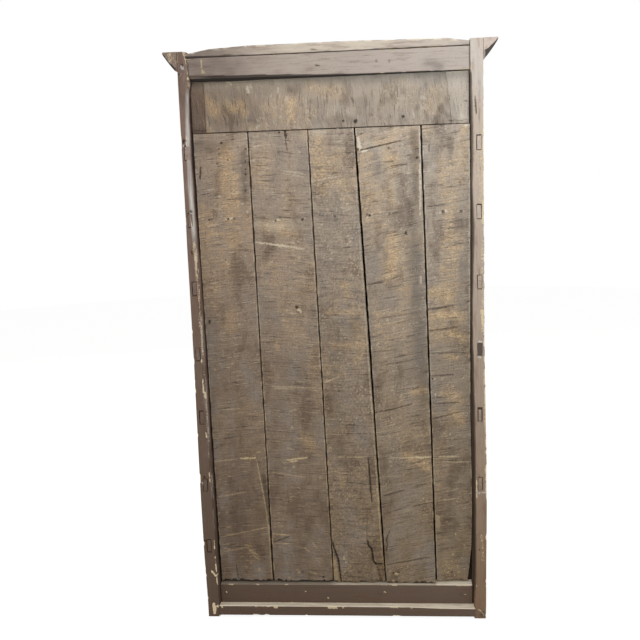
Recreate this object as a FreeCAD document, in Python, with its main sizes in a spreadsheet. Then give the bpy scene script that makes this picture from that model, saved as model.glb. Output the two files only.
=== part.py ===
"""Sacristy cupboard: a tall two-door cupboard of pegged frames, fielded panels and raw back planks.

The origin lies under the middle of the overall box, +Z is up and the doors face -Y, in millimetres.
Left and right are those of a person who stands in front of the doors.
Planks are counted from the right-hand rear post, as they follow each other when seen from behind.
"""
import FreeCAD
import Part
import Sketcher
import math
import os
import re

SIZES = {
    # carcass, measured over the four posts
    "carcass_width": 964,
    "carcass_depth": 440,
    "carcass_height": 1920,
    "rear_post_width": 42,
    "rear_post_depth": 80,
    "wane_head": 4,
    "wane_upper": 17,
    "wane_lower": 8,
    "wane_foot": 3,
    "front_post_width": 58,
    "front_post_depth": 60,
    # cornice round the front and the two sides
    "cornice_overhang": 45,
    "cornice_height": 66,
    "cornice_foot": 7,
    "cornice_lip": 6,
    "cornice_round": 95,
    # roof boards in the top of the carcass
    "roof_sink": 22,
    "roof_crown": 33,
    "roof_shoulder": 27,
    "roof_edge": 17,
    "roof_rear_board": 118,
    "roof_front_board": 150,
    "roof_joint": 2,
    "roof_inset": 2,
    # frame of the back
    "back_rail_thickness": 36,
    "back_top_rail_height": 72,
    "back_top_rail_wane": 22,
    "back_bottom_rail_height": 72,
    "back_bottom_rail_setback": 30,
    "rail_tenon_clear": 1,
    "rail_tenon_thickness": 12,
    "rail_tenon_shoulder": 9,
    "sill_lift": 6,
    "sill_height": 30,
    "sill_depth": 66,
    "batten_thickness": 22,
    "floor_bearer_height": 60,
    # boards of the back
    "plank_setback": 40,
    "plank_thickness": 18,
    "plank_gap": 4,
    "plank_side_gap": 2,
    "plank_head_gap": 2,
    "top_board_head_gap": 18,
    "top_board_height": 213,
    "top_board_thin": 9,
    "top_board_right_end": 35,
    "top_board_left_end": 63,
    "plank_one_head": 167,
    "plank_one_foot": 186,
    "plank_two_head": 195,
    "plank_two_foot": 212,
    "plank_three_head": 151,
    "plank_three_foot": 183,
    "plank_four_head": 213,
    "plank_four_foot": 175,
    "plank_five_head": 146,
    "plank_five_foot": 105,
    "plank_five_gap_head": 6,
    "plank_five_gap_foot": 17,
    "plank_one_lift": 8,
    "plank_two_lift": 7,
    "plank_three_lift": 2,
    "plank_four_lift": 1,
    "plank_five_lift": 10,
    "break_width": 36,
    "break_height": 56,
    "break_depth": 8,
    # side frames
    "side_rail_height": 56,
    "side_rail_thickness": 30,
    "side_tenon_thickness": 16,
    "side_tenon_height": 46,
    "side_tenon_front": 40,
    "side_tenon_blind": 36,
    "side_tenon_recess": 1,
    "side_top_rail_height": 98,
    "side_bottom_rail_low": 38,
    "rail_step_one": 124,
    "rail_step_two": 222,
    "rail_step_three": 239,
    "rail_step_four": 218,
    "rail_step_five": 221,
    "rail_step_six": 226,
    "rail_step_seven": 210,
    "rail_step_eight": 202,
    # fielded panels of the sides and the doors
    "groove_width": 10,
    "groove_depth": 9,
    "panel_play": 0.2,
    "panel_gap": 1,
    "panel_raise": 6,
    "panel_bevel": 28,
    "panel_margin": 4,
    # floor and shelves
    "floor_level": 138,
    "floor_thickness": 24,
    "floor_joint": 2,
    "shelf_thickness": 24,
    "shelf_play": 1,
    "shelf_stop_gap": 1.5,
    # front frame and doors
    "lintel_height": 112,
    "lintel_thickness": 26,
    "front_bottom_rail_low": 30,
    "front_bottom_rail_thickness": 40,
    "door_thickness": 28,
    "door_gap": 3,
    "hinge_gap": 2.5,
    "stile_width": 74,
    "door_top_rail": 82,
    "door_mid_rail": 72,
    "door_bottom_rail": 100,
    "door_tenon_length": 46,
    "door_tenon_shoulder": 10,
    # pegs and nails
    "peg_radius": 4,
    "peg_proud": 0.8,
    "peg_length": 24,
    "peg_spacing": 34,
    "back_peg_length": 60,
    "nail_radius": 1.8,
    "nail_length": 36,
    "nail_head_radius": 5,
    "nail_head_height": 1.6,
    # hinges
    "hinge_inset_low": 189,
    "hinge_inset_high": 183,
    "knuckle_radius": 5.5,
    "knuckle_height": 34,
    "knuckle_clear": 1,
    "knuckle_play": 0.3,
    "pin_radius": 3.2,
    "pin_play": 0.05,
    "pin_reach": 30,
    "leaf_play": 0.5,
    "leaf_depth": 24,
    # lock on the right-hand door and keeper on the left-hand door
    "lock_offset": 123,
    "lock_backset": 4,
    "lock_case_width": 64,
    "lock_case_height": 86,
    "lock_case_depth": 18,
    "lock_wall": 2,
    "bolt_rise": 15,
    "bolt_height": 14,
    "bolt_thickness": 5,
    "bolt_back": 3,
    "bolt_play": 0.5,
    "bolt_tail": 6,
    "keeper_width": 24,
    "keeper_wall": 3,
    "keeper_foot": 14,
    "keeper_sheet": 2,
    "keeper_edge": 2,
    "keeper_play": 4,
    "key_setback": 40,
    "key_radius": 4,
    "key_play": 0.8,
    "key_bow_radius": 13,
    "key_bow_wire": 5,
    "key_stem": 9,
    "key_collar_radius": 6,
    "key_collar_length": 5,
    "key_collar_gap": 1,
    "key_reach": 12,
    "bit_drop": 15,
    "bit_thickness": 4,
    "bit_length": 5.5,
    "bit_clear": 1.5,
    "keyhole_slot": 6,
    "plate_width": 40,
    "plate_height": 96,
    "plate_thickness": 2,
    "plate_waist": 26,
    # wooden turn button inside the left-hand door
    "button_length": 64,
    "button_width": 18,
    "button_thickness": 11,
    "button_drop": 18,
    "button_offset": 38,
    "button_play": 0.3,
    "pivot_radius": 2.5,
    "pivot_play": 0.05,
    "pivot_depth": 8,
    "pivot_head_radius": 6,
    "pivot_head_height": 3,
}

doc = FreeCAD.newDocument("sacristy_cupboard")
sheet = doc.addObject("Spreadsheet::Sheet", "Sheet")
for row, (alias, value) in enumerate(SIZES.items(), start=1):
    sheet.set(f"A{row}", alias)
    sheet.set(f"B{row}", str(value))
    sheet.setAlias(f"B{row}", alias)
doc.recompute()

WORD = re.compile(r"[a-z]\w*")
PARTS = []

# planes that many pieces share, as formulas of the sizes
HALF = "(carcass_width / 2)"
REAR = "((carcass_depth + cornice_overhang) / 2)"
FRONT = "((cornice_overhang - carcass_depth) / 2)"
REAR_POST_IN = "(carcass_width / 2 - rear_post_width)"
FRONT_POST_IN = "(carcass_width / 2 - front_post_width)"
RAIL_TOP = "(carcass_height - roof_sink)"
CORNICE_LOW = "(carcass_height - cornice_height)"
REAR_POST_FACE = f"({REAR} - rear_post_depth)"
FRONT_POST_FACE = f"({FRONT} + front_post_depth)"
PLANK_IN = f"({REAR} - plank_setback - plank_thickness)"
SILL_TOP = "(sill_lift + sill_height)"
BOTTOM_RAIL_TOP = f"({SILL_TOP} + back_bottom_rail_height)"
TOP_BOARD_HIGH = f"({RAIL_TOP} - top_board_head_gap)"
TOP_BOARD_LOW = f"({TOP_BOARD_HIGH} - top_board_height)"
GROOVE_MID = f"({HALF} - side_rail_thickness / 2)"
TENON_END = f"({GROOVE_MID} - side_tenon_thickness / 2 - rail_tenon_clear)"
PANEL_THICKNESS = "(groove_width - 2 * panel_play)"
PANEL_TONGUE = "(groove_depth - panel_gap)"
SIDE_TOP_RAIL_LOW = f"({RAIL_TOP} - side_top_rail_height)"
DOOR_IN = f"({FRONT} + door_thickness)"
DOOR_EDGE = f"({FRONT_POST_IN} - hinge_gap)"
DOOR_LOW = "(floor_level + door_gap)"
LINTEL_LOW = f"({RAIL_TOP} - lintel_height)"
DOOR_HIGH = f"({LINTEL_LOW} - door_gap)"
DOOR_MIDDLE = f"(({DOOR_LOW} + {DOOR_HIGH}) / 2)"
LOCK_LEVEL = f"({DOOR_MIDDLE} + lock_offset)"
MEETING = "(door_gap / 2)"
WORDS = ("one", "two", "three", "four", "five", "six", "seven", "eight")
LEVELS = WORDS[:-1]
SIDES = (("left", -1), ("right", 1))
ALONG = {
    "x": FreeCAD.Rotation(FreeCAD.Vector(0, 1, 0), 90),
    "y": FreeCAD.Rotation(FreeCAD.Vector(1, 0, 0), -90),
    "z": FreeCAD.Rotation(),
}


def formula(text):
    """Point every size name in a formula at its cell of the sheet."""
    return WORD.sub(lambda m: f"Sheet.{m[0]}" if m[0] in SIZES else m[0], str(text))


def bind(item, prop, text):
    """Drive one property of an object by a formula of the sizes."""
    item.setExpression(prop, formula(text))


def keep(label, item):
    """Give a finished sub-part its name and put it on the list of pieces."""
    item.Label = label
    PARTS.append((label, item))
    return item


def mirrored(sign, span):
    """Return a span across the cupboard for the right-hand side or, turned over, for the left."""
    return span if sign > 0 else (f"-({span[1]})", f"-({span[0]})")


def flipped(sign, place):
    """Return a place across the cupboard for the right-hand side or, turned over, for the left."""
    return place if sign > 0 else f"-({place})"


def around(middle, size):
    """Return the span of a size that lies evenly about a middle."""
    return (f"{middle} - ({size}) / 2", f"{middle} + ({size}) / 2")


def box(x, y, z):
    """Add a straight block between three pairs of planes."""
    block = doc.addObject("Part::Box", "Block")
    for axis, size, span in (("x", "Length", x), ("y", "Width", y), ("z", "Height", z)):
        bind(block, f"Placement.Base.{axis}", span[0])
        bind(block, size, f"({span[1]}) - ({span[0]})")
    return block


def round_bar(kind, axis, start, length, sizes, sides=0):
    """Add a cylinder, cone or many-sided prism that runs along one axis from its start."""
    bar = doc.addObject(kind, "Bar")
    if sides:
        bar.Polygon = sides
    bar.Placement = FreeCAD.Placement(FreeCAD.Vector(), ALONG[axis])
    for letter, place in zip("xyz", start):
        bind(bar, f"Placement.Base.{letter}", place)
    bind(bar, "Height", length)
    for prop, text in sizes.items():
        bind(bar, prop, text)
    return bar


def fuse(pieces):
    """Join pieces that meet into one solid."""
    whole = doc.addObject("Part::MultiFuse", "Whole")
    whole.Shapes = pieces
    whole.Refine = True
    return whole


def cut(base, tools):
    """Take tools away from a base."""
    rest = doc.addObject("Part::Cut", "Rest")
    rest.Base = base
    rest.Tool = tools[0] if len(tools) == 1 else fuse(tools)
    rest.Refine = True
    return rest


def group(pieces):
    """Hold like pieces together as separate solids of one sub-part."""
    held = doc.addObject("Part::Compound", "Group")
    held.Links = pieces
    return held


def sketch(body, plane, level, corners, curve=None):
    """Draw a closed outline on an origin plane, with every corner tied to the sheet.

    The drawing starts as an even ring. A curve starts from its own rough corners instead and makes
    one edge an arc: it holds the edge's number, the name of its radius, those corners and the arc's middle.
    """
    drawing = body.newObject("Sketcher::SketchObject", "Outline")
    base = next(f for f in body.Origin.OriginFeatures if f.Role == plane)
    drawing.AttachmentSupport = [(base, "")]
    drawing.MapMode = "FlatFace"
    bind(drawing, "AttachmentOffset.Base.z", level)
    count = len(corners)
    turn = 2 * math.pi / count
    rough = [FreeCAD.Vector(100 * math.cos(k * turn), 100 * math.sin(k * turn)) for k in range(count)]
    arc_edge = -1
    if curve:
        arc_edge, radius, places, middle = curve
        rough = [FreeCAD.Vector(*place) for place in places]
    ends = []
    for k in range(count):
        start = rough[k]
        end = rough[(k + 1) % count]
        if k == arc_edge:
            swell = FreeCAD.Vector(*middle)
            leftward = (swell - start).cross(end - swell).z > 0
            drawing.addGeometry(Part.Arc(start, swell, end) if leftward else Part.Arc(end, swell, start))
            number = drawing.addConstraint(Sketcher.Constraint("Radius", k, SIZES[radius]))
            bind(drawing, f"Constraints[{number}]", radius)
        else:
            drawing.addGeometry(Part.LineSegment(start, end))
        begins = drawing.Geometry[k].StartPoint.distanceToPoint(start) < 0.01
        ends.append((1, 2) if begins else (2, 1))
    for k in range(count):
        following = (k + 1) % count
        drawing.addConstraint(Sketcher.Constraint(
            "Coincident", k, ends[k][1], following, ends[following][0]))
        for kind, text, value in zip(("DistanceX", "DistanceY"), corners[k], rough[k]):
            number = drawing.addConstraint(Sketcher.Constraint(kind, -1, 1, k, ends[k][0], value))
            bind(drawing, f"Constraints[{number}]", text)
    return drawing


def padded(plane, level, corners, length, curve=None):
    """Make a body by drawing an outline and padding it along the plane's own normal."""
    body = doc.addObject("PartDesign::Body", "Body")
    outline = sketch(body, plane, level, corners, curve)
    pad = body.newObject("PartDesign::Pad", "Pad")
    pad.Profile = outline
    bind(pad, "Length", length)
    body.Tip = pad
    return body


def pocketed(body, corners):
    """Cut an outline on the ground plane right up through a body."""
    outline = sketch(body, "XY_Plane", "0", corners)
    pocket = body.newObject("PartDesign::Pocket", "Pocket")
    pocket.Profile = outline
    pocket.Type = "ThroughAll"
    pocket.Reversed = True
    body.Tip = pocket


def waned(body, plane, stations):
    """Take a straight-sided wane off a body, through a row of outlines at their levels."""
    outlines = [sketch(body, plane, level, corners) for level, corners in stations]
    loft = body.newObject("PartDesign::SubtractiveLoft", "Wane")
    loft.Profile = outlines[0]
    loft.Sections = outlines[1:]
    loft.Ruled = True
    body.Tip = loft


def block_corners(x, y):
    """Return the four corners of a rectangle from two spans."""
    return [(x[0], y[0]), (x[1], y[0]), (x[1], y[1]), (x[0], y[1])]


def peg(axis, start, length="peg_length + peg_proud"):
    """Add a riven four-sided peg."""
    return round_bar("Part::Prism", axis, start, length, {"Circumradius": "peg_radius"}, 4)


def shared(names, count, run):
    """Return the length that the first few of a row of sizes take up when the whole row fills a run."""
    return f"(({run}) * ({' + '.join(names[:count])}) / ({' + '.join(names)}))"


def rail_level(level):
    """Return the middle height of a side frame's rail: the steps share the height from floor to top rail."""
    steps = [f"rail_step_{word}" for word in WORDS]
    risen = shared(steps, WORDS.index(level) + 1, f"{SIDE_TOP_RAIL_LOW} - floor_level")
    return f"(floor_level + {risen})"


def level_span(level):
    """Return the heights between which a middle rail of a side frame lies."""
    return around(rail_level(level), "side_rail_height")


def side_rail_spans():
    """Return the heights of the rails of a side frame, from the floor up, with tenon and peg heights."""
    bottom = ("side_bottom_rail_low", "floor_level")
    top = (SIDE_TOP_RAIL_LOW, RAIL_TOP)
    shoulder = "rail_tenon_shoulder"
    rails = [(bottom, (f"{bottom[0]} + {shoulder}", f"{bottom[1]} - {shoulder}"),
              f"({bottom[0]} + {bottom[1]}) / 2")]
    for level in LEVELS:
        middle = rail_level(level)
        rails.append((level_span(level), around(middle, "side_tenon_height"), middle))
    rails.append((top, (f"{top[0]} + {shoulder}", f"{top[1]} - {shoulder}"),
                  f"{top[0]} + peg_length"))
    return rails


def panel_plate(thick, across, heights, upright):
    """Add the plate of a panel; tongues fill the grooves and its corners are notched round the tenons.

    The span across runs along Y for an upright side panel and along X for a door's panel.
    """
    wide = (f"{across[0]} - {PANEL_TONGUE}", f"{across[1]} + {PANEL_TONGUE}")
    narrow = (f"{across[0]} + panel_gap", f"{across[1]} - panel_gap")
    tall = (f"{heights[0]} - groove_depth", f"{heights[1]} + {PANEL_TONGUE}")
    spans = ((wide, heights), (narrow, tall))
    if upright:
        return fuse([box(thick, y, z) for y, z in spans])
    return fuse([box(x, thick, z) for x, z in spans])


def panel_field(middle_x, middle_y, middle_z, width, height, turn):
    """Add the raised field of a panel: a flat-topped pyramid that rises along its own Y."""
    field = doc.addObject("Part::Wedge", "Field")
    field.Placement = FreeCAD.Placement(
        FreeCAD.Vector(), FreeCAD.Rotation(FreeCAD.Vector(0, 0, 1), turn))
    for letter, place in zip("xyz", (middle_x, middle_y, middle_z)):
        bind(field, f"Placement.Base.{letter}", place)
    bind(field, "Ymin", "0")
    bind(field, "Ymax", "panel_raise")
    for prop, size in (("X", width), ("Z", height)):
        bind(field, f"{prop}min", f"-(({size}) / 2 - panel_margin)")
        bind(field, f"{prop}max", f"({size}) / 2 - panel_margin")
        bind(field, f"{prop}2min", f"-(({size}) / 2 - panel_margin - panel_bevel)")
        bind(field, f"{prop}2max", f"({size}) / 2 - panel_margin - panel_bevel")
    return field


def side_frame(side, sign):
    """Build the rails, panels and pegs of one side frame; return its mortises and pegs for the posts."""
    outer = mirrored(sign, (f"{HALF} - side_rail_thickness", HALF))
    tongue = mirrored(sign, around(GROOVE_MID, "side_tenon_thickness"))
    groove = mirrored(sign, around(GROOVE_MID, "groove_width"))
    plate = mirrored(sign, around(GROOVE_MID, PANEL_THICKNESS))
    field_x = flipped(sign, f"({GROOVE_MID} + {PANEL_THICKNESS} / 2)")
    between = (FRONT_POST_FACE, REAR_POST_FACE)
    front_pegs_at = f"{FRONT_POST_FACE} - side_tenon_front / 2"
    peg_start = f"{HALF} - peg_length" if sign > 0 else f"-({HALF}) - peg_proud"
    spans = side_rail_spans()
    rails = []
    rear_cuts = []
    front_cuts = []
    pegs = []
    last = len(spans) - 1
    for number, (heights, tenon_heights, peg_height) in enumerate(spans):
        through = 0 < number < last
        blind_end = f"{REAR_POST_FACE} + side_tenon_blind"
        rear_end = f"{REAR} - side_tenon_recess" if through else blind_end
        rear_pegs_at = f"{REAR} - rear_post_depth / 2" if through else f"{blind_end} - side_tenon_blind / 2"
        front_end = f"{FRONT_POST_FACE} - side_tenon_front"
        beam = box(outer, between, heights)
        tenon = box(tongue, (front_end, rear_end), tenon_heights)
        grooves = []
        if number < last:
            grooves.append(box(groove, between, (f"{heights[1]} - groove_depth", heights[1])))
        if number > 0:
            grooves.append(box(groove, between, (heights[0], f"{heights[0]} + groove_depth")))
        rail_pegs = [peg("x", (peg_start, at, peg_height)) for at in (front_pegs_at, rear_pegs_at)]
        rails.append(cut(fuse([beam, tenon]), grooves + rail_pegs))
        front_cuts += [box(tongue, (front_end, FRONT_POST_FACE), tenon_heights), rail_pegs[0]]
        mortise_end = REAR if through else rear_end
        rear_cuts += [box(tongue, (REAR_POST_FACE, mortise_end), tenon_heights), rail_pegs[1]]
        pegs += rail_pegs
    keep(f"{side}_side_bottom_rail", rails[0])
    keep(f"{side}_side_middle_rails", group(rails[1:-1]))
    keep(f"{side}_side_top_rail", rails[-1])
    run = ("floor_level", SIDE_TOP_RAIL_LOW)
    rear_cuts.append(box(groove, (REAR_POST_FACE, f"{REAR_POST_FACE} + groove_depth"), run))
    front_cuts.append(box(groove, (f"{FRONT_POST_FACE} - groove_depth", FRONT_POST_FACE), run))
    panels = []
    for lower, upper in zip(spans[:-1], spans[1:]):
        low = lower[0][1]
        high = upper[0][0]
        slab = panel_plate(plate, between, (low, high), True)
        middle_y = f"(({between[0]}) + ({between[1]})) / 2"
        middle_z = f"(({low}) + ({high})) / 2"
        field = panel_field(field_x, middle_y, middle_z, f"({between[1]}) - ({between[0]})",
                            f"({high}) - ({low})", -90 * sign)
        panels.append(fuse([slab, field]))
    keep(f"{side}_side_panels", group(panels))
    return rear_cuts, front_cuts, pegs


def back_frame():
    """Build the rails and sill of the back; return the mortises for each rear post and the pegs."""
    cuts = {"left": [], "right": []}
    pegs = []
    inner = (f"-{REAR_POST_IN}", REAR_POST_IN)
    rail_face = (f"{REAR} - back_rail_thickness", REAR)
    low_face = (f"{REAR} - back_bottom_rail_setback - back_rail_thickness",
                f"{REAR} - back_bottom_rail_setback")
    top_heights = (f"{RAIL_TOP} - back_top_rail_height", RAIL_TOP)
    top_middle = f"({RAIL_TOP} - back_top_rail_height / 2)"
    rail = padded("YZ_Plane", inner[0], block_corners(rail_face, top_heights), f"2 * {REAR_POST_IN}")
    wane_at = [(inner[0], "rail_tenon_shoulder / 3"), (inner[1], "back_top_rail_wane")]
    outside = (f"{REAR} + 1", f"{top_heights[0]} - 1")
    waned(rail, "YZ_Plane", [
        (level, [outside, (outside[0], f"{outside[1]} + {size} + 2"),
                 (f"{outside[0]} - {size} - 2", outside[1])]) for level, size in wane_at])
    members = (
        ("back_top_rail", rail, rail_face, top_heights,
         (f"{top_middle} - peg_spacing / 2", f"{top_middle} + peg_spacing / 2")),
        ("back_bottom_rail", box(inner, low_face, (SILL_TOP, BOTTOM_RAIL_TOP)), low_face,
         (SILL_TOP, BOTTOM_RAIL_TOP), (f"({SILL_TOP} + {BOTTOM_RAIL_TOP}) / 2",)),
        ("back_sill", box(inner, (f"{REAR} - sill_depth", REAR), ("sill_lift", SILL_TOP)),
         (f"{REAR} - sill_depth", REAR), ("sill_lift", SILL_TOP), ("sill_lift + sill_height / 2",)),
    )
    built = {}
    for label, beam, depth, heights, peg_heights in members:
        shapes = [beam]
        holes = []
        for side, sign in SIDES:
            tenon = box(mirrored(sign, (REAR_POST_IN, TENON_END)),
                        around(f"(({depth[0]}) + ({depth[1]})) / 2", "rail_tenon_thickness"),
                        (f"{heights[0]} + rail_tenon_shoulder", f"{heights[1]} - rail_tenon_shoulder"))
            shapes.append(tenon)
            cuts[side].append(tenon)
            for height in peg_heights:
                pin = peg("y", (flipped(sign, f"(({REAR_POST_IN} + {TENON_END}) / 2)"),
                                f"{REAR} - back_peg_length", height), "back_peg_length")
                holes.append(pin)
                cuts[side].append(pin)
        built[label] = cut(fuse(shapes), holes)
        pegs += holes
    return built, cuts, pegs


def nail(x, y, z):
    """Add a wrought nail driven inward from a rear face: a flat head and a square shank."""
    shank = round_bar("Part::Prism", "y", (x, f"{y} - nail_length", z), "nail_length",
                      {"Circumradius": "nail_radius"}, 4)
    head = round_bar("Part::Prism", "y", (x, y, z), "nail_head_height",
                     {"Circumradius": "nail_head_radius"}, 4)
    return fuse([shank, head])


def back_boards(rails):
    """Build the boards of the back with their battens and nails, and finish the back rails."""
    face = f"{REAR} - plank_setback"
    inner = (f"-{REAR_POST_IN}", REAR_POST_IN)
    batten_y = (f"{PLANK_IN} - batten_thickness", PLANK_IN)
    bearer_y = (f"{REAR} - back_bottom_rail_setback - back_rail_thickness - batten_thickness",
                f"{REAR} - back_bottom_rail_setback - back_rail_thickness")
    half_gap = "plank_gap / 2"
    outer = f"({REAR_POST_IN} - plank_side_gap)"
    ends = [f"-({REAR_POST_IN} - plank_five_gap_{end})" for end in ("head", "foot")]
    widths = [[f"plank_{word}_{end}" for word in WORDS[:5]] for end in ("head", "foot")]
    joints = [[f"({outer} - {shared(row, count, f'{outer} - ({end})')})" for row, end in zip(widths, ends)]
              for count in range(1, 5)]
    rights = [(outer, outer)] + [(f"{head} - {half_gap}", f"{foot} - {half_gap}") for head, foot in joints]
    lefts = [(f"{head} + {half_gap}", f"{foot} + {half_gap}") for head, foot in joints] + [ends]
    head_height = f"{TOP_BOARD_LOW} - plank_head_gap"
    rail_middle = f"({SILL_TOP} + {BOTTOM_RAIL_TOP}) / 2"
    rows = (
        (rail_level("seven"), 0.96, ((0.42,), (0.5,), (0.85,), (0.5,), (0.5,))),
        (rail_level("six"), 0.82, ((0.2, 0.65), (0.19, 0.46), (0.46,), (0.1, 0.46), (0.45, 0.86))),
        ("floor_level + floor_thickness / 2", 0.03, ((0.5,), (0.5,), (0.5,), (0.25,), (0.5,))),
    )
    nails = {name: [] for name in ("seven", "six", "floor", "rail", "top")}
    planks = []
    for number, (right, left) in enumerate(zip(rights, lefts)):
        word = WORDS[number]
        foot = f"{BOTTOM_RAIL_TOP} + plank_{word}_lift"
        corners = [(left[1], foot), (right[1], foot), (right[0], head_height), (left[0], head_height)]
        plank = padded("XZ_Plane", f"-({face})", corners, "plank_thickness")
        driven = []
        for name, (height, rise, places) in zip(("seven", "six", "floor"), rows):
            for part in places[number]:
                low = f"(({right[1]}) * {1 - part:.2f} + ({left[1]}) * {part})"
                high = f"(({right[0]}) * {1 - part:.2f} + ({left[0]}) * {part})"
                iron = nail(f"{low} * {1 - rise:.2f} + {high} * {rise}", face, height)
                driven.append(iron)
                nails[name].append(iron)
        tools = driven
        if word == "three":
            tools = driven + [box((left[1], f"{left[1]} + break_width"), (f"{face} - break_depth", face),
                                  (foot, f"{foot} + break_height"))]
        planks.append(keep(f"back_plank_{number + 1}", cut(plank, tools)))
    board_face = f"{REAR} - back_rail_thickness"
    board = box((f"-({REAR_POST_IN} - plank_side_gap)", f"{REAR_POST_IN} - plank_side_gap"),
                (PLANK_IN, board_face), (TOP_BOARD_LOW, TOP_BOARD_HIGH))
    thinned = [box(mirrored(sign, (f"{REAR_POST_IN} - top_board_{side}_end", REAR_POST_IN)),
                   (f"{board_face} - top_board_thin", board_face),
                   (TOP_BOARD_LOW, f"{RAIL_TOP} - back_top_rail_height")) for side, sign in SIDES]
    for part in (-0.8, -0.3, 0.15, 0.6, 0.85):
        nails["top"].append(nail(f"{REAR_POST_IN} * {part}", board_face, f"{TOP_BOARD_LOW} + nail_length"))
    keep("back_top_board", cut(board, thinned + nails["top"]))
    for part in (-0.91, -0.28, 0.15, 0.39):
        nails["rail"].append(nail(f"{REAR_POST_IN} * {part}",
                                  f"{REAR} - back_bottom_rail_setback", rail_middle))
    keep("back_top_rail", rails["back_top_rail"])
    keep("back_bottom_rail", cut(rails["back_bottom_rail"], nails["rail"]))
    keep("back_sill", rails["back_sill"])
    keep("back_head_batten", cut(box(inner, batten_y, level_span("seven")), nails["seven"]))
    keep("back_shelf_bearer", cut(box(inner, batten_y, level_span("six")), nails["six"]))
    keep("back_floor_bearer", box(inner, bearer_y, ("floor_level - floor_bearer_height", "floor_level")))
    keep("back_nails", group([iron for row in nails.values() for iron in row]))
    return nails["floor"]


def shelf_outline(front, rear):
    """Return the corners of a board that fills the inside between two depths and clears the posts."""
    x_front = f"({FRONT_POST_IN} - shelf_play)"
    x_wide = f"({HALF} - side_rail_thickness / 2 - groove_width / 2 - shelf_play)"
    x_rear = f"({REAR_POST_IN} - shelf_play)"
    y_front = f"({FRONT_POST_FACE} + shelf_play)"
    y_rear = f"({REAR_POST_FACE} - shelf_play)"
    half = []
    if front is None:
        half += [(x_front, f"{DOOR_IN} + shelf_stop_gap"), (x_front, y_front), (x_wide, y_front)]
    else:
        half.append((x_wide, front))
    if rear is None:
        half += [(x_wide, y_rear), (x_rear, y_rear), (x_rear, f"{PLANK_IN} - shelf_play")]
    else:
        half.append((x_wide, rear))
    return half + [(f"-{x}", y) for x, y in reversed(half)]


def inside_boards(floor_nails):
    """Build the floor boards and the shelves."""
    floor_joint = f"(({FRONT_POST_FACE} + {REAR_POST_FACE}) / 2)"
    floor_front = padded("XY_Plane", "floor_level",
                         shelf_outline(None, f"{floor_joint} - floor_joint / 2"), "floor_thickness")
    floor_rear = padded("XY_Plane", "floor_level",
                        shelf_outline(f"{floor_joint} + floor_joint / 2", None), "floor_thickness")
    keep("floor_boards", group([floor_front, cut(floor_rear, floor_nails)]))
    shelves = [padded("XY_Plane", level_span(level)[1], shelf_outline(None, None), "shelf_thickness")
               for level in ("two", "four", "six")]
    keep("shelves", group(shelves))


def roof_boards():
    """Build the three roof boards; the rear one keeps its waney crown."""
    inner = f"({REAR_POST_IN} - shelf_play)"
    ear = f"({HALF} - panel_margin)"
    crown = [(f"-{inner}", RAIL_TOP), (inner, RAIL_TOP), (inner, f"{RAIL_TOP} + roof_edge"),
             (f"{inner} * 0.86", f"{RAIL_TOP} + roof_shoulder"),
             (f"{inner} * 0.58", f"{RAIL_TOP} + roof_crown"), (f"-{inner} * 0.05", f"{RAIL_TOP} + roof_crown"),
             (f"-{inner} * 0.84", f"{RAIL_TOP} + roof_shoulder"), (f"-{inner}", f"{RAIL_TOP} + roof_edge")]
    rear_line = f"({REAR} - roof_rear_board)"
    front_line = f"({FRONT} + roof_front_board)"
    middle = padded("XZ_Plane", f"-({REAR} - roof_inset)", crown, "roof_rear_board - roof_inset")
    wing = box((f"-{ear}", ear), (rear_line, f"{REAR_POST_FACE} - shelf_play"),
               (RAIL_TOP, f"{RAIL_TOP} + roof_edge"))
    keep("roof_board_rear", fuse([middle, wing]))
    heights = (RAIL_TOP, "carcass_height")
    between = (f"{front_line} + roof_joint", f"{rear_line} - roof_joint")
    keep("roof_board_middle", box((f"-{ear}", ear), between, heights))
    narrow = f"({FRONT_POST_IN} - shelf_play)"
    front_face = (f"{FRONT} + roof_inset", front_line)
    keep("roof_board_front", fuse([
        box((f"-{narrow}", narrow), front_face, heights),
        box((f"-{ear}", ear), (f"{FRONT_POST_FACE} + shelf_play", front_line), heights)]))


def cornice_profile(place):
    """Return the corners of the moulding's outline for a rule that turns an overhang into a place."""
    return [(place("0"), CORNICE_LOW), (place("cornice_foot"), CORNICE_LOW),
            (place("cornice_overhang"), "carcass_height - cornice_lip"),
            (place("cornice_overhang"), "carcass_height"), (place("0"), "carcass_height")]


def cornice_curve(across):
    """Return the round of the moulding from thin foot to lip, for the same kind of rule on numbers."""
    top = SIZES["carcass_height"]
    low = top - SIZES["cornice_height"]
    out = SIZES["cornice_overhang"]
    start = (SIZES["cornice_foot"], low)
    end = (out, top - SIZES["cornice_lip"])
    reach = math.dist(start, end)
    sag = SIZES["cornice_round"] - math.sqrt(SIZES["cornice_round"] ** 2 - reach ** 2 / 4)
    middle = ((start[0] + end[0]) / 2 + (end[1] - start[1]) / reach * sag,
              (start[1] + end[1]) / 2 - (end[0] - start[0]) / reach * sag)
    rough = [(0, low), start, end, (out, top), (0, top)]
    return 1, "cornice_round", [(across(x), z) for x, z in rough], (across(middle[0]), middle[1])


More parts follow.
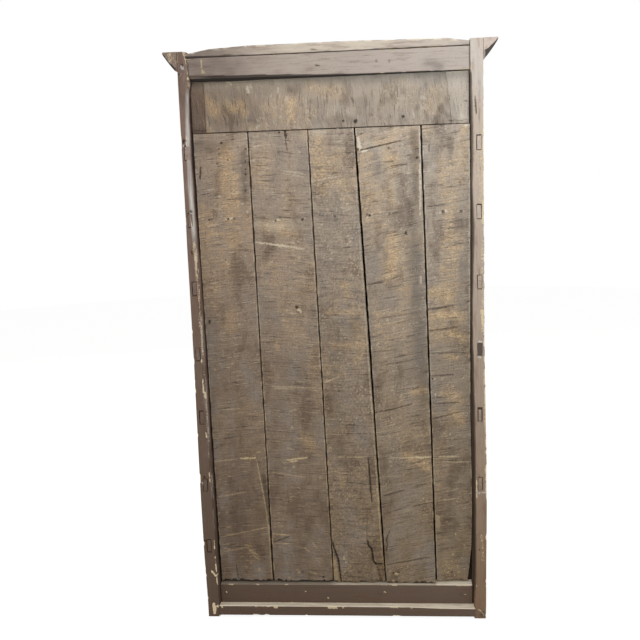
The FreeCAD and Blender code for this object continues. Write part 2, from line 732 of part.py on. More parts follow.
def cornice():
    """Build the front moulding and its two returns, mitred where they meet."""
    half = SIZES["carcass_width"] / 2
    front = (SIZES["cornice_overhang"] - SIZES["carcass_depth"]) / 2
    tip = f"({HALF} + cornice_overhang)"
    front_tip = f"({FRONT} - cornice_overhang)"
    face = padded("YZ_Plane", f"-{tip}", cornice_profile(lambda out: f"{FRONT} - {out}"), f"2 * {tip}",
                  cornice_curve(lambda out: front - out))
    for _, sign in SIDES:
        pocketed(face, [(flipped(sign, HALF), FRONT), (flipped(sign, tip), FRONT),
                        (flipped(sign, tip), front_tip)])
    keep("cornice_front", face)
    for side, sign in SIDES:
        profile = cornice_profile(lambda out, s=sign: flipped(s, f"({HALF} + {out})"))
        rise = cornice_curve(lambda out, s=sign: s * (half + out))
        length = "carcass_depth + cornice_overhang"
        end = padded("XZ_Plane", f"-{REAR}", profile, length, rise)
        pocketed(end, [(flipped(sign, HALF), FRONT), (flipped(sign, HALF), front_tip),
                       (flipped(sign, tip), front_tip)])
        keep(f"cornice_{side}", end)


def front_frame():
    """Build the two rails of the front; return the mortises for each front post and the pegs."""
    cuts = {"left": [], "right": []}
    pegs = []
    inner = (f"-{FRONT_POST_IN}", FRONT_POST_IN)
    low_middle = "((front_bottom_rail_low + floor_level) / 2)"
    members = (
        ("front_top_rail", "lintel_thickness", (LINTEL_LOW, RAIL_TOP),
         (f"{LINTEL_LOW} + peg_spacing / 2", f"{LINTEL_LOW} + peg_spacing * 3 / 2")),
        ("front_bottom_rail", "front_bottom_rail_thickness", ("front_bottom_rail_low", "floor_level"),
         (f"{low_middle} - peg_spacing / 2", f"{low_middle} + peg_spacing / 2")),
    )
    for label, thickness, heights, peg_heights in members:
        shapes = [box(inner, (FRONT, f"{FRONT} + {thickness}"), heights)]
        holes = []
        for side, sign in SIDES:
            tenon = box(mirrored(sign, (FRONT_POST_IN, TENON_END)),
                        around(f"({FRONT} + {thickness} / 2)", "rail_tenon_thickness"),
                        (f"{heights[0]} + rail_tenon_shoulder", f"{heights[1]} - rail_tenon_shoulder"))
            shapes.append(tenon)
            cuts[side].append(tenon)
            for height in peg_heights:
                pin = peg("y", (flipped(sign, f"(({FRONT_POST_IN} + {TENON_END}) / 2)"),
                                f"{FRONT} - peg_proud", height))
                holes.append(pin)
                cuts[side].append(pin)
        keep(label, cut(fuse(shapes), holes))
        pegs += holes
    return cuts, pegs


def rear_post(side, sign):
    """Return the plain timber of a rear post; the right-hand one has a waney inner corner."""
    x = mirrored(sign, (REAR_POST_IN, HALF))
    if side == "left":
        return box(x, (REAR_POST_FACE, REAR), ("0", "carcass_height"))
    post = padded("XY_Plane", "0", block_corners(x, (REAR_POST_FACE, REAR)), "carcass_height")
    stations = (("0.06", "wane_foot"), ("0.47", "wane_lower"), ("0.78", "wane_upper"), ("0.96", "wane_head"))
    corner_x = f"{REAR_POST_IN} - 1"
    corner_y = f"{REAR} + 1"
    waned(post, "XY_Plane", [
        (f"carcass_height * {rise}",
         [(corner_x, corner_y), (corner_x, f"{REAR} - {size} * 1.2"), (f"{REAR_POST_IN} + {size}", corner_y)])
        for rise, size in stations])
    return post


def carcass():
    """Build the carcass: side frames, back, front frame, posts, floor, shelves, roof and cornice."""
    back_rails, back_cuts, pegs = back_frame()
    front_cuts, front_pegs = front_frame()
    pegs += front_pegs
    for side, sign in SIDES:
        rear_side, front_side, side_pegs = side_frame(side, sign)
        pegs += side_pegs
        keep(f"rear_post_{side}", cut(rear_post(side, sign), rear_side + back_cuts[side]))
        front = box(mirrored(sign, (FRONT_POST_IN, HALF)), (FRONT, FRONT_POST_FACE), ("0", "carcass_height"))
        keep(f"front_post_{side}", cut(front, front_side + front_cuts[side]))
    keep("carcass_pegs", group(pegs))
    inside_boards(back_boards(back_rails))
    roof_boards()
    cornice()


def door_rail_spans():
    """Return the heights of the four rails of a door, from the bottom up."""
    bay = f"(({DOOR_HIGH} - {DOOR_LOW} - door_top_rail - door_bottom_rail - 2 * door_mid_rail) / 3)"
    first = f"({DOOR_LOW} + door_bottom_rail)"
    lower = f"({first} + {bay})"
    upper = f"({lower} + door_mid_rail + {bay})"
    return [(DOOR_LOW, first), (lower, f"({lower} + door_mid_rail)"), (upper, f"({upper} + door_mid_rail)"),
            (f"({DOOR_HIGH} - door_top_rail)", DOOR_HIGH)]


def door(side, sign, stile_cuts):
    """Build one door of two stiles, four rails and three fielded panels, all pegged."""
    mid_y = f"({FRONT} + door_thickness / 2)"
    depth = (FRONT, DOOR_IN)
    groove_y = around(mid_y, "groove_width")
    plate_y = around(mid_y, PANEL_THICKNESS)
    meeting = mirrored(sign, (MEETING, f"{MEETING} + stile_width"))
    hinged = mirrored(sign, (f"{DOOR_EDGE} - stile_width", DOOR_EDGE))
    sight = mirrored(sign, (f"({MEETING} + stile_width)", f"({DOOR_EDGE} - stile_width)"))
    spans = door_rail_spans()
    full = (DOOR_LOW, DOOR_HIGH)
    run = (spans[0][1], spans[-1][0])
    last = len(spans) - 1
    pegs = []
    rails = []
    tenons = []
    for number, heights in enumerate(spans):
        tenon = box((f"{sight[0]} - door_tenon_length", f"{sight[1]} + door_tenon_length"), groove_y,
                    (f"{heights[0]} + door_tenon_shoulder", f"{heights[1]} - door_tenon_shoulder"))
        grooves = []
        if number < last:
            grooves.append(box(sight, groove_y, (f"{heights[1]} - groove_depth", heights[1])))
        if number > 0:
            grooves.append(box(sight, groove_y, (heights[0], f"{heights[0]} + groove_depth")))
        middle = f"(({heights[0]}) + ({heights[1]})) / 2"
        holes = [peg("y", (f"{x}", f"{FRONT} - peg_proud", f"{middle} {shift} peg_spacing / 2"))
                 for x in (f"{sight[0]} - door_tenon_length / 2", f"{sight[1]} + door_tenon_length / 2")
                 for shift in "-+"]
        rails.append(cut(fuse([box(sight, depth, heights), tenon]), grooves + holes))
        tenons.append(tenon)
        pegs += holes
    keep(f"{side}_door_bottom_rail", rails[0])
    keep(f"{side}_door_middle_rails", group(rails[1:-1]))
    keep(f"{side}_door_top_rail", rails[-1])
    wide = (f"{sight[0]} - groove_depth", f"{sight[1]} + groove_depth")
    ploughed = tenons + [box(wide, groove_y, run)] + pegs
    keep(f"{side}_door_meeting_stile", cut(box(meeting, depth, full), ploughed + stile_cuts))
    keep(f"{side}_door_hinge_stile", cut(box(hinged, depth, full), ploughed))
    panels = []
    for lower, upper in zip(spans[:-1], spans[1:]):
        low = lower[1]
        high = upper[0]
        slab = panel_plate(plate_y, sight, (low, high), False)
        field = panel_field(f"({sight[0]} + {sight[1]}) / 2", plate_y[0], f"({low} + {high}) / 2",
                            f"{sight[1]} - {sight[0]}", f"{high} - {low}", 180)
        panels.append(fuse([slab, field]))
    keep(f"{side}_door_panels", group(panels))
    keep(f"{side}_door_pegs", group(pegs))


def hinges():
    """Build the three lift-off hinges of each door: pintles on the posts, leaves on the doors."""
    pintles = []
    axis_y = f"({FRONT} - knuckle_radius - knuckle_clear)"
    leaf_y = (axis_y, f"{FRONT} + leaf_depth")
    for side, sign in SIDES:
        axis = f"({FRONT_POST_IN} - hinge_gap / 2)"
        axis_x = flipped(sign, axis)
        leaves = []
        for middle in (f"({DOOR_LOW} + hinge_inset_low)", DOOR_MIDDLE, f"({DOOR_HIGH} - hinge_inset_high)"):
            low = (f"{middle} - knuckle_height", f"{middle} - knuckle_play / 2")
            high = (f"{middle} + knuckle_play / 2", f"{middle} + knuckle_height")
            tall = "knuckle_height - knuckle_play / 2"
            barrel = {"Radius": "knuckle_radius"}
            pintles.append(fuse([
                round_bar("Part::Cylinder", "z", (axis_x, axis_y, low[0]), tall, barrel),
                round_bar("Part::Cylinder", "z", (axis_x, axis_y, low[0]), "knuckle_height + pin_reach",
                          {"Radius": "pin_radius"}),
                box(mirrored(sign, (f"{axis} + leaf_play / 2", FRONT_POST_IN)), leaf_y, low)]))
            whole = fuse([
                round_bar("Part::Cylinder", "z", (axis_x, axis_y, high[0]), tall, barrel),
                box(mirrored(sign, (DOOR_EDGE, f"{axis} - leaf_play / 2")), leaf_y, high)])
            bore = round_bar("Part::Cylinder", "z", (axis_x, axis_y, middle), "pin_reach + knuckle_play",
                             {"Radius": "pin_radius + pin_play"})
            leaves.append(cut(whole, [bore]))
        keep(f"{side}_door_hinge_leaves", group(leaves))
    keep("hinge_pintles", group(pintles))


def keyhole():
    """Return the cutter for the keyhole: a round hole with a slot below it."""
    key_x = f"({MEETING} + key_setback)"
    start = f"{FRONT} - plate_thickness"
    hole = round_bar("Part::Cylinder", "y", (key_x, start, LOCK_LEVEL), "plate_thickness + door_thickness",
                     {"Radius": "key_radius + key_play"})
    slot = box(around(key_x, "keyhole_slot"), (start, DOOR_IN),
               (f"{LOCK_LEVEL} - bit_drop - key_play", LOCK_LEVEL))
    return fuse([hole, slot])


def lock(hole):
    """Build the rim lock: case, bolt, key, key plate, and the keeper on the other door."""
    left_x = f"({MEETING} + lock_backset)"
    right_x = f"({left_x} + lock_case_width)"
    back_y = f"({DOOR_IN} + lock_case_depth)"
    key_x = f"({MEETING} + key_setback)"
    bolt_mid = f"({LOCK_LEVEL} + bolt_rise)"
    bolt_z = around(bolt_mid, "bolt_height")
    bolt_y = (f"{back_y} - lock_wall - bolt_back - bolt_thickness", f"{back_y} - lock_wall - bolt_back")
    shell = box((left_x, right_x), (DOOR_IN, back_y), around(LOCK_LEVEL, "lock_case_height"))
    hollow = box((f"{left_x} + lock_wall", f"{right_x} - lock_wall"), (DOOR_IN, f"{back_y} - lock_wall"),
                 around(LOCK_LEVEL, "lock_case_height - 2 * lock_wall"))
    slot = box((left_x, f"{left_x} + lock_wall"), (f"{bolt_y[0]} - bolt_play", f"{bolt_y[1]} + bolt_play"),
               (f"{bolt_z[0]} - bolt_play", f"{bolt_z[1]} + bolt_play"))
    keep("lock_case", cut(shell, [hollow, slot]))
    bar = box((left_x, f"{right_x} - lock_wall - bolt_tail"), bolt_y, bolt_z)
    talon = box(around(key_x, "bit_drop"), bolt_y, (bolt_z[0], f"{bolt_z[0]} + bolt_thickness"))
    keep("lock_bolt", cut(bar, [talon]))
    keeper_x = (f"-({MEETING} + keeper_edge + keeper_width)", f"-({MEETING} + keeper_edge)")
    mouth = "(bolt_height + keeper_play)"
    bridge = box(keeper_x, (DOOR_IN, back_y), around(bolt_mid, f"{mouth} + 2 * keeper_wall"))
    opening = box(keeper_x, (f"{DOOR_IN} + keeper_sheet", f"{back_y} - keeper_wall"), around(bolt_mid, mouth))
    base = box(keeper_x, (DOOR_IN, f"{DOOR_IN} + keeper_sheet"),
               around(bolt_mid, f"{mouth} + 2 * keeper_wall + 2 * keeper_foot"))
    keep("lock_keeper", fuse([cut(bridge, [opening]), base]))
    half = [("0", "0.5"), ("plate_waist / 2", "0.34"), ("plate_width / 2", "0.2"),
            ("plate_width / 2", "-0.12"), ("plate_waist / 2", "-0.34"), ("0", "-0.5")]
    corners = [(f"{key_x} + {x}", f"{LOCK_LEVEL} + plate_height * {z}") for x, z in half]
    corners += [(f"{key_x} - {x}", f"{LOCK_LEVEL} + plate_height * {z}") for x, z in reversed(half[1:-1])]
    plate = padded("XZ_Plane", f"-{FRONT}", corners, "plate_thickness")
    keep("key_plate", cut(plate, [hole]))
    collar_back = f"({FRONT} - plate_thickness - key_collar_gap)"
    collar_front = f"({collar_back} - key_collar_length)"
    bow_y = f"({collar_front} - key_stem - key_bow_radius)"
    bow_start = (f"{key_x} - key_bow_wire / 2", bow_y, LOCK_LEVEL)
    bow = cut(round_bar("Part::Cylinder", "x", bow_start, "key_bow_wire", {"Radius": "key_bow_radius"}),
              [round_bar("Part::Cylinder", "x", bow_start, "key_bow_wire",
                         {"Radius": "key_bow_radius - key_bow_wire"})])
    shank_start = f"({bow_y} + key_bow_radius - key_bow_wire / 2)"
    keep("key", fuse([
        bow,
        round_bar("Part::Cylinder", "y", (key_x, shank_start, LOCK_LEVEL),
                  f"{DOOR_IN} + key_reach - {shank_start}", {"Radius": "key_radius"}),
        round_bar("Part::Prism", "y", (key_x, collar_front, LOCK_LEVEL), "key_collar_length",
                  {"Circumradius": "key_collar_radius"}, 8),
        box(around(key_x, "bit_thickness"), (f"{DOOR_IN} + bit_clear", f"{DOOR_IN} + bit_clear + bit_length"),
            (f"{LOCK_LEVEL} - bit_drop", LOCK_LEVEL))]))


def turn_button():
    """Build the wooden turn button and its pivot; return the pivot's spike for its hole in the stile."""
    middle_x = f"-({MEETING} + button_offset)"
    middle_z = f"({DOOR_HIGH} - button_drop)"
    start = f"({DOOR_IN} + button_play)"
    straight = around(f"({middle_x})", "button_length - button_width")
    bar = box(straight, (start, f"{start} + button_thickness"), around(middle_z, "button_width"))
    ends = [round_bar("Part::Cylinder", "y", (x, start, middle_z), "button_thickness",
                      {"Radius": "button_width / 2"}) for x in straight]
    bore = round_bar("Part::Cylinder", "y", (middle_x, start, middle_z), "button_thickness",
                     {"Radius": "pivot_radius + pivot_play"})
    keep("turn_button", cut(fuse([bar] + ends), [bore]))
    spike = round_bar("Part::Prism", "y", (middle_x, f"{DOOR_IN} - pivot_depth", middle_z), "pivot_depth",
                      {"Circumradius": "pivot_radius"}, 4)
    shank = round_bar("Part::Cylinder", "y", (middle_x, DOOR_IN, middle_z),
                      "button_thickness + 2 * button_play", {"Radius": "pivot_radius"})
    head = round_bar("Part::Prism", "y", (middle_x, f"{start} + button_thickness + button_play", middle_z),
                     "pivot_head_height", {"Circumradius": "pivot_head_radius"}, 6)
    keep("turn_button_pivot", fuse([spike, shank, head]))
    return spike


def main():
    """Build every piece, test it and write it out."""
    carcass()
    hole = keyhole()
    door("left", -1, [turn_button()])
    door("right", 1, [hole])
    hinges()
    lock(hole)
    doc.recompute()
    for item in doc.Objects:
        if "Invalid" in item.State or "Error" in item.State:
            raise RuntimeError(f"{item.Name} ({item.Label}) did not build: {item.State}")
    for label, item in PARTS:
        if item.Shape.isNull() or not item.Shape.isValid() or not item.Shape.Solids:
            raise RuntimeError(f"{label} has no sound solid")
    os.makedirs("parts", exist_ok=True)
    for label, item in PARTS:
        item.Shape.exportStep(f"parts/{label}.step")
    print(f"{len(PARTS)} pieces, {sum(len(item.Shape.Solids) for _, item in PARTS)} solids")


main()
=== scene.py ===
"""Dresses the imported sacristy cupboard: worn paint, raw planks and forged iron in a pale studio.

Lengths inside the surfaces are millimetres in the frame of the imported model; a mesh gets metres.
Marks on the back are placed by (across, height), where across grows to the right of a person behind it.
"""
import logging
import math
from dataclasses import dataclass
from enum import Enum
from typing import Callable, Sequence

import bpy
import numpy as np
from mathutils import Matrix


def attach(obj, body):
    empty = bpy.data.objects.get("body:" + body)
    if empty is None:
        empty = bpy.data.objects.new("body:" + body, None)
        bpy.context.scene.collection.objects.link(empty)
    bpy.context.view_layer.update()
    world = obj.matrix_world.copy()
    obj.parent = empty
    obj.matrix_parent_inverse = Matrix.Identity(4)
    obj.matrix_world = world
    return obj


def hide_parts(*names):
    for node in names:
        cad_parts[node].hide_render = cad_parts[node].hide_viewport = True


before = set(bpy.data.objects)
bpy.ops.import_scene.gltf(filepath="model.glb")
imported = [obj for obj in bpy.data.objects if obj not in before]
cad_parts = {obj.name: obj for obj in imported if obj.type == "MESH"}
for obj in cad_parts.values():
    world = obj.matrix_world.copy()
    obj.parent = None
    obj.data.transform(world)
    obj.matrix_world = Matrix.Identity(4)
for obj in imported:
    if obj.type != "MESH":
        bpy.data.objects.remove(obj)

Array = np.ndarray
Point = tuple[float, float, float]
Span = tuple[float, float]
Path = tuple[Span, ...]
Socket = bpy.types.NodeSocket

LOG = logging.getLogger("sacristy_cupboard")
METRE = 1000.0
LATTICE = 256
PATINA = "patina"
SAWN = "sawn"
CREASE = math.radians(35.0)

# Half width of the thinnest mark that the mesh can show, and how far marks reach round an edge
NARROWEST = 2.3
ROUND_EDGE = 6.5

# Painted shade on faces that look inwards, as a share of the full soot-and-shade colour
INNER_SHADE = 0.30

# Places along Y that several pieces share, from front to rear
FRONT = -197.5
FRONT_POST_REAR = -137.5
POST_FRONT = 162.5
SILL_FRONT = 176.5
BOARD_FRONT = 184.5
PLANK_REAR = 202.5
TOP_BOARD_REAR = 206.5
BOTTOM_RAIL_REAR = 212.5
REAR = 242.5

# How far the wane of a rear post reaches from its rear face
WANE_DEPTH = 20.5

# Half widths over and between the posts
HALF = 482.0
POST_IN = 440.0

# Heights that several pieces share
SILL_LOW = 6.0
SILL_TOP = 36.0
BOTTOM_RAIL_TOP = 108.0
FLOOR_LEVEL = 138.0
RAIL_LEVELS = (262.0, 484.0, 723.0, 941.0, 1162.0, 1388.0, 1598.0)
TOP_TENON_LIFT = 6.0
PLANK_HEAD = 1665.0
TOP_BOARD_LOW = 1667.0
TOP_RAIL_LOW = 1826.0
RAIL_TOP = 1898.0
HEIGHT = 1920.0
ROOF_CROWN = 1931.0

# Fielded panels of the sides and doors
PANEL_TONGUE = 6.0
PANEL_BORDER = 4.0
PANEL_BEVEL = 28.0
PANEL_RAISE = 6.0
PANEL_STEP = 1.6

SIDES = (("left", -1), ("right", 1))


class Grain(Enum):
    """The way that the fibres of a timber run, as the number of that axis."""

    LEVEL = 0
    DEEP = 1
    UPRIGHT = 2


class Edge(Enum):
    """How the border of a mark fades."""

    CRISP = "crisp"
    SOFT = "soft"
    TAPERED = "tapered"


class Face(Enum):
    """The four long faces of a timber, in the order in which its section runs round."""

    FIRST_HIGH = 0
    SECOND_HIGH = 1
    FIRST_LOW = 2
    SECOND_LOW = 3


def linear(code: str) -> tuple[float, float, float, float]:
    """Turn an sRGB hex colour into linear light.

    Args:
        code: six hex digits after a hash sign.

    Returns:
        Red, green, blue and a full alpha.
    """
    parts = [int(code[k:k + 2], 16) / 255 for k in (1, 3, 5)]
    red, green, blue = (c / 12.92 if c <= 0.04045 else ((c + 0.055) / 1.055) ** 2.4 for c in parts)
    return red, green, blue, 1.0


def ease(low: float, high: float, value: Array) -> Array:
    """Rise from 0 at low to 1 at high along a smooth cubic.

    Args:
        low: where the rise starts.
        high: where it ends.
        value: the numbers to ease.

    Returns:
        Numbers from 0 to 1.
    """
    part = np.clip((value - low) / (high - low), 0.0, 1.0)
    return part * part * (3 - 2 * part)


def noise(across: Array, along: Array, seed: int) -> Array:
    """Smooth value noise: random heights on a square lattice, eased between the four corners of a cell.

    Args:
        across: first coordinate, in cells.
        along: second coordinate, in cells.
        seed: picks the lattice.

    Returns:
        Heights from 0 to 1.
    """
    heights = np.random.default_rng(seed).random((LATTICE, LATTICE))
    cell_a = np.floor(across).astype(int)
    cell_b = np.floor(along).astype(int)
    part_a = ease(0.0, 1.0, across - cell_a)
    part_b = ease(0.0, 1.0, along - cell_b)
    left, right = cell_a % LATTICE, (cell_a + 1) % LATTICE
    near, far = cell_b % LATTICE, (cell_b + 1) % LATTICE
    low = heights[left, near] * (1 - part_a) + heights[right, near] * part_a
    high = heights[left, far] * (1 - part_a) + heights[right, far] * part_a
    return low * (1 - part_b) + high * part_b


def cloud(across: Array, along: Array, seed: int, octaves: int = 3) -> Array:
    """Sum of value noise, each octave twice as fine and half as strong as the one before.

    Args:
        across: first coordinate, in cells of the coarsest octave.
        along: second coordinate, in the same cells.
        seed: picks the lattices.
        octaves: how many are summed.

    Returns:
        Heights from 0 to 1.
    """
    total = np.zeros(np.broadcast(across, along).shape)
    for k in range(octaves):
        total += noise(across * 2 ** k, along * 2 ** k, seed + k) / 2 ** k
    return total / (2 - 2 ** (1 - octaves))


@dataclass(frozen=True)
class Mark:
    """One mark on a timber: a crack, scratch, stain, nail hole or chip along a path.

    Its mask falls from 1 on the path to 0 at its border, which noise roughens.
    """

    path: Path
    half: float
    depth: float = 0.0
    wear: float = 0.0
    dark: float = 0.0
    pale: float = 0.0
    edge: Edge = Edge.CRISP
    ragged: float = 0.5

    def mask(self, across: Array, height: Array) -> Array:
        """Work out the mask from the least distance to the path's pieces, divided by the half width.

        Args:
            across: places across the back.
            height: heights of the same points.

        Returns:
            The mask from 0 to 1.
        """
        points = np.array(self.path if len(self.path) > 1 else self.path * 2, float)
        nearest = np.full(across.shape, np.inf)
        place = np.zeros(across.shape)
        pieces = len(points) - 1
        for number, (start, end) in enumerate(zip(points[:-1], points[1:])):
            run = end - start
            square = max(float(run @ run), 1e-9)
            share = np.clip(((across - start[0]) * run[0] + (height - start[1]) * run[1]) / square, 0, 1)
            gap = np.hypot(across - start[0] - share * run[0], height - start[1] - share * run[1])
            place = np.where(gap < nearest, (number + share) / pieces, place)
            nearest = np.minimum(nearest, gap)
        if self.edge is Edge.TAPERED:
            nearest = nearest / (0.4 + 0.6 * np.sqrt(np.sin(np.pi * np.clip(place, 0, 1)) + 1e-6))
        cell = max(self.half, 2.5)
        rough = (cloud(across / cell, height / cell, int(points[0, 1]) % 97, 2) - 0.5) * 2
        reach = nearest / self.half + self.ragged * rough
        if self.edge is Edge.SOFT:
            return np.exp(-np.clip(reach, 0, None) ** 2)
        return 1 - ease(0.6, 1.2, reach)


@dataclass
class Skin:
    """The skin of one timber: a row for each station along it, a column for each point round it."""

    points: Array
    normals: Array
    rim: Array
    side: Array
    wear: Array
    dark: Array
    pale: Array
    sawn: Array | None = None

    @property
    def across(self) -> Array:
        """Places across the back, to the right of a person behind it."""
        return -self.points[..., 0]

    @property
    def height(self) -> Array:
        """Heights above the floor."""
        return self.points[..., 2]

    @property
    def axes(self) -> tuple[Array, ...]:
        """X, Y and Z of the points, as views that follow them."""
        return tuple(self.points[..., axis] for axis in range(3))

    def on(self, *faces: Face) -> Array:
        """Say which points lie on the named long faces, as a row of 0 and 1."""
        return np.isin(self.side, [face.value for face in faces]).astype(float)[None, :]

    def sink(self, depth: Array) -> None:
        """Move each point inwards along its normal by a depth."""
        self.points -= self.normals * depth[..., None]

    def stain(self, wear: Array | float = 0.0, dark: Array | float = 0.0, pale: Array | float = 0.0) -> None:
        """Deepen the three paint masks where the new ones are stronger."""
        self.wear = np.maximum(self.wear, wear)
        self.dark = np.maximum(self.dark, dark)
        self.pale = np.maximum(self.pale, pale)

    def strike(self, marks: Sequence[Mark], where: Array) -> None:
        """Cut and stain a row of marks.

        Args:
            marks: the marks, in order.
            where: 1 where the skin takes marks and 0 elsewhere.
        """
        for mark in marks:
            mask = mark.mask(self.across, self.height) * where
            self.stain(mark.wear * mask, mark.dark * mask, mark.pale * mask)
            if mark.depth:
                self.sink(mark.depth * mask)


def on_side(span: Span, sign: int) -> Span:
    """Keep a span of X for the right side and mirror it for the left."""
    return span if sign > 0 else (-span[1], -span[0])


def along_table(table: Sequence[Sequence[float]], height: Array, column: int = 1) -> Array:
    """Read a column of a table at some heights, straight between its rows.

    Args:
        table: rows that start with their height.
        height: the heights to read it at.
        column: the column to read.

    Returns:
        The values at those heights.
    """
    rows = np.array(table, float)
    return np.interp(height, rows[:, 0], rows[:, column])


def section(low: Span, high: Span, arris: float, spacing: Sequence[float]) -> tuple[Array, ...]:
    """Round a rectangle's four corners by quarter circles and lay points along it.

    Args:
        low: least corner of the rectangle.
        high: greatest corner.
        arris: radius of the corners.
        spacing: distance between points on each face.

    Returns:
        Points, outward normals, distance from the nearest arris and face number of each point.
    """
    (p0, q0), (p1, q1) = low, high
    runs = (((p0 + arris, q1), (p1 - arris, q1)), ((p1, q1 - arris), (p1, q0 + arris)),
            ((p1 - arris, q0), (p0 + arris, q0)), ((p0, q0 + arris), (p0, q1 - arris)))
    outward = np.array([(0, 1), (1, 0), (0, -1), (-1, 0)], float)
    points, normals, rims, sides = [], [], [], []
    for number, (start, end) in enumerate(np.array(runs, float)):
        run = end - start
        length = float(np.abs(run).sum())
        share = np.linspace(0, 1, max(1, math.ceil(length / spacing[number])) + 1)
        points.append(start + run * share[:, None])
        normals.append(np.repeat(outward[number][None], len(share), 0))
        rims.append(np.minimum(share, 1 - share) * length + arris / 2)
        turn = np.radians(np.array([30.0, 60.0]))[:, None]
        bend = outward[number] * np.cos(turn) + outward[(number + 1) % 4] * np.sin(turn)
        points.append(end - outward[number] * arris + bend * arris)
        normals.append(bend)
        rims.append(np.zeros(2))
        sides.append(np.full(len(share) + 2, number))
    return np.concatenate(points), np.concatenate(normals), np.concatenate(rims), np.concatenate(sides)


@dataclass
class Beam:
    """A timber: a rounded rectangle carried along one axis, hewn a little uneven and worn at its arrises."""

    low: Point
    high: Point
    grain: Grain
    seed: int
    arris: float = 2.0
    spacing: tuple[float, float, float, float] = (9.0, 9.0, 9.0, 9.0)
    pace: float = 14.0
    hew: float = 0.7
    loss: float = 0.6
    stops: Sequence[float] = ()

    def skin(self) -> Skin:
        """Carry the section along the axis; the first and last rings draw in by a quarter circle.

        Returns:
            The skin with its hewn waves and lost arrises.
        """
        length_axis = self.grain.value
        first, second = [axis for axis in range(3) if axis != length_axis]
        low, high = ((corner[first], corner[second]) for corner in (self.low, self.high))
        flat, bend, rim, side = section(low, high, self.arris, self.spacing)
        start, end = self.low[length_axis], self.high[length_axis]
        count = max(2, math.ceil((end - start) / self.pace))
        ends = self.arris * np.array([0.0, 0.25, 1.0])
        stations = np.unique(np.concatenate(
            [np.linspace(start, end, count + 1), start + ends, end - ends, np.array(self.stops, float)]))
        stations = stations[(stations >= start) & (stations <= end)]
        gap = np.clip(1 - np.minimum(stations - start, end - stations) / self.arris, 0, 1)
        draw = self.arris * (1 - np.sqrt(1 - gap ** 2))
        shape = (len(stations), len(flat))
        points = np.zeros(shape + (3,))
        normals = np.zeros(shape + (3,))
        points[..., first], points[..., second] = flat[:, 0], flat[:, 1]
        points[..., length_axis] = stations[:, None]
        normals[..., first], normals[..., second] = bend[:, 0], bend[:, 1]
        points -= normals * draw[:, None, None]
        blank = np.zeros(shape)
        made = Skin(points, normals, np.broadcast_to(rim, shape), side, blank, blank.copy(), blank.copy())
        self.weather(made, stations, flat)
        return made

    def weather(self, made: Skin, stations: Array, flat: Array) -> None:
        """Sink broad hewn waves into the faces and break small pieces from the arrises.

        Args:
            made: the skin to weather.
            stations: places along the timber.
            flat: points of the section.
        """
        along = stations[:, None]
        round_it = (flat[:, 0] * 0.7 + flat[:, 1])[None, :]
        waves = cloud(along / 160, round_it / 60, self.seed, 2)
        inside = np.clip(np.minimum(along - stations[0], stations[-1] - along) / 6, 0, 1)
        made.sink(self.hew * waves * inside)
        near = np.exp(-(made.rim / 3.5) ** 2)
        broken = ease(0.60, 0.78, cloud(along / 34, round_it / 90, self.seed + 31, 3)) * near * self.loss
        made.sink(1.6 * broken * inside)
        made.stain(wear=np.clip(broken * 1.4, 0, 1))


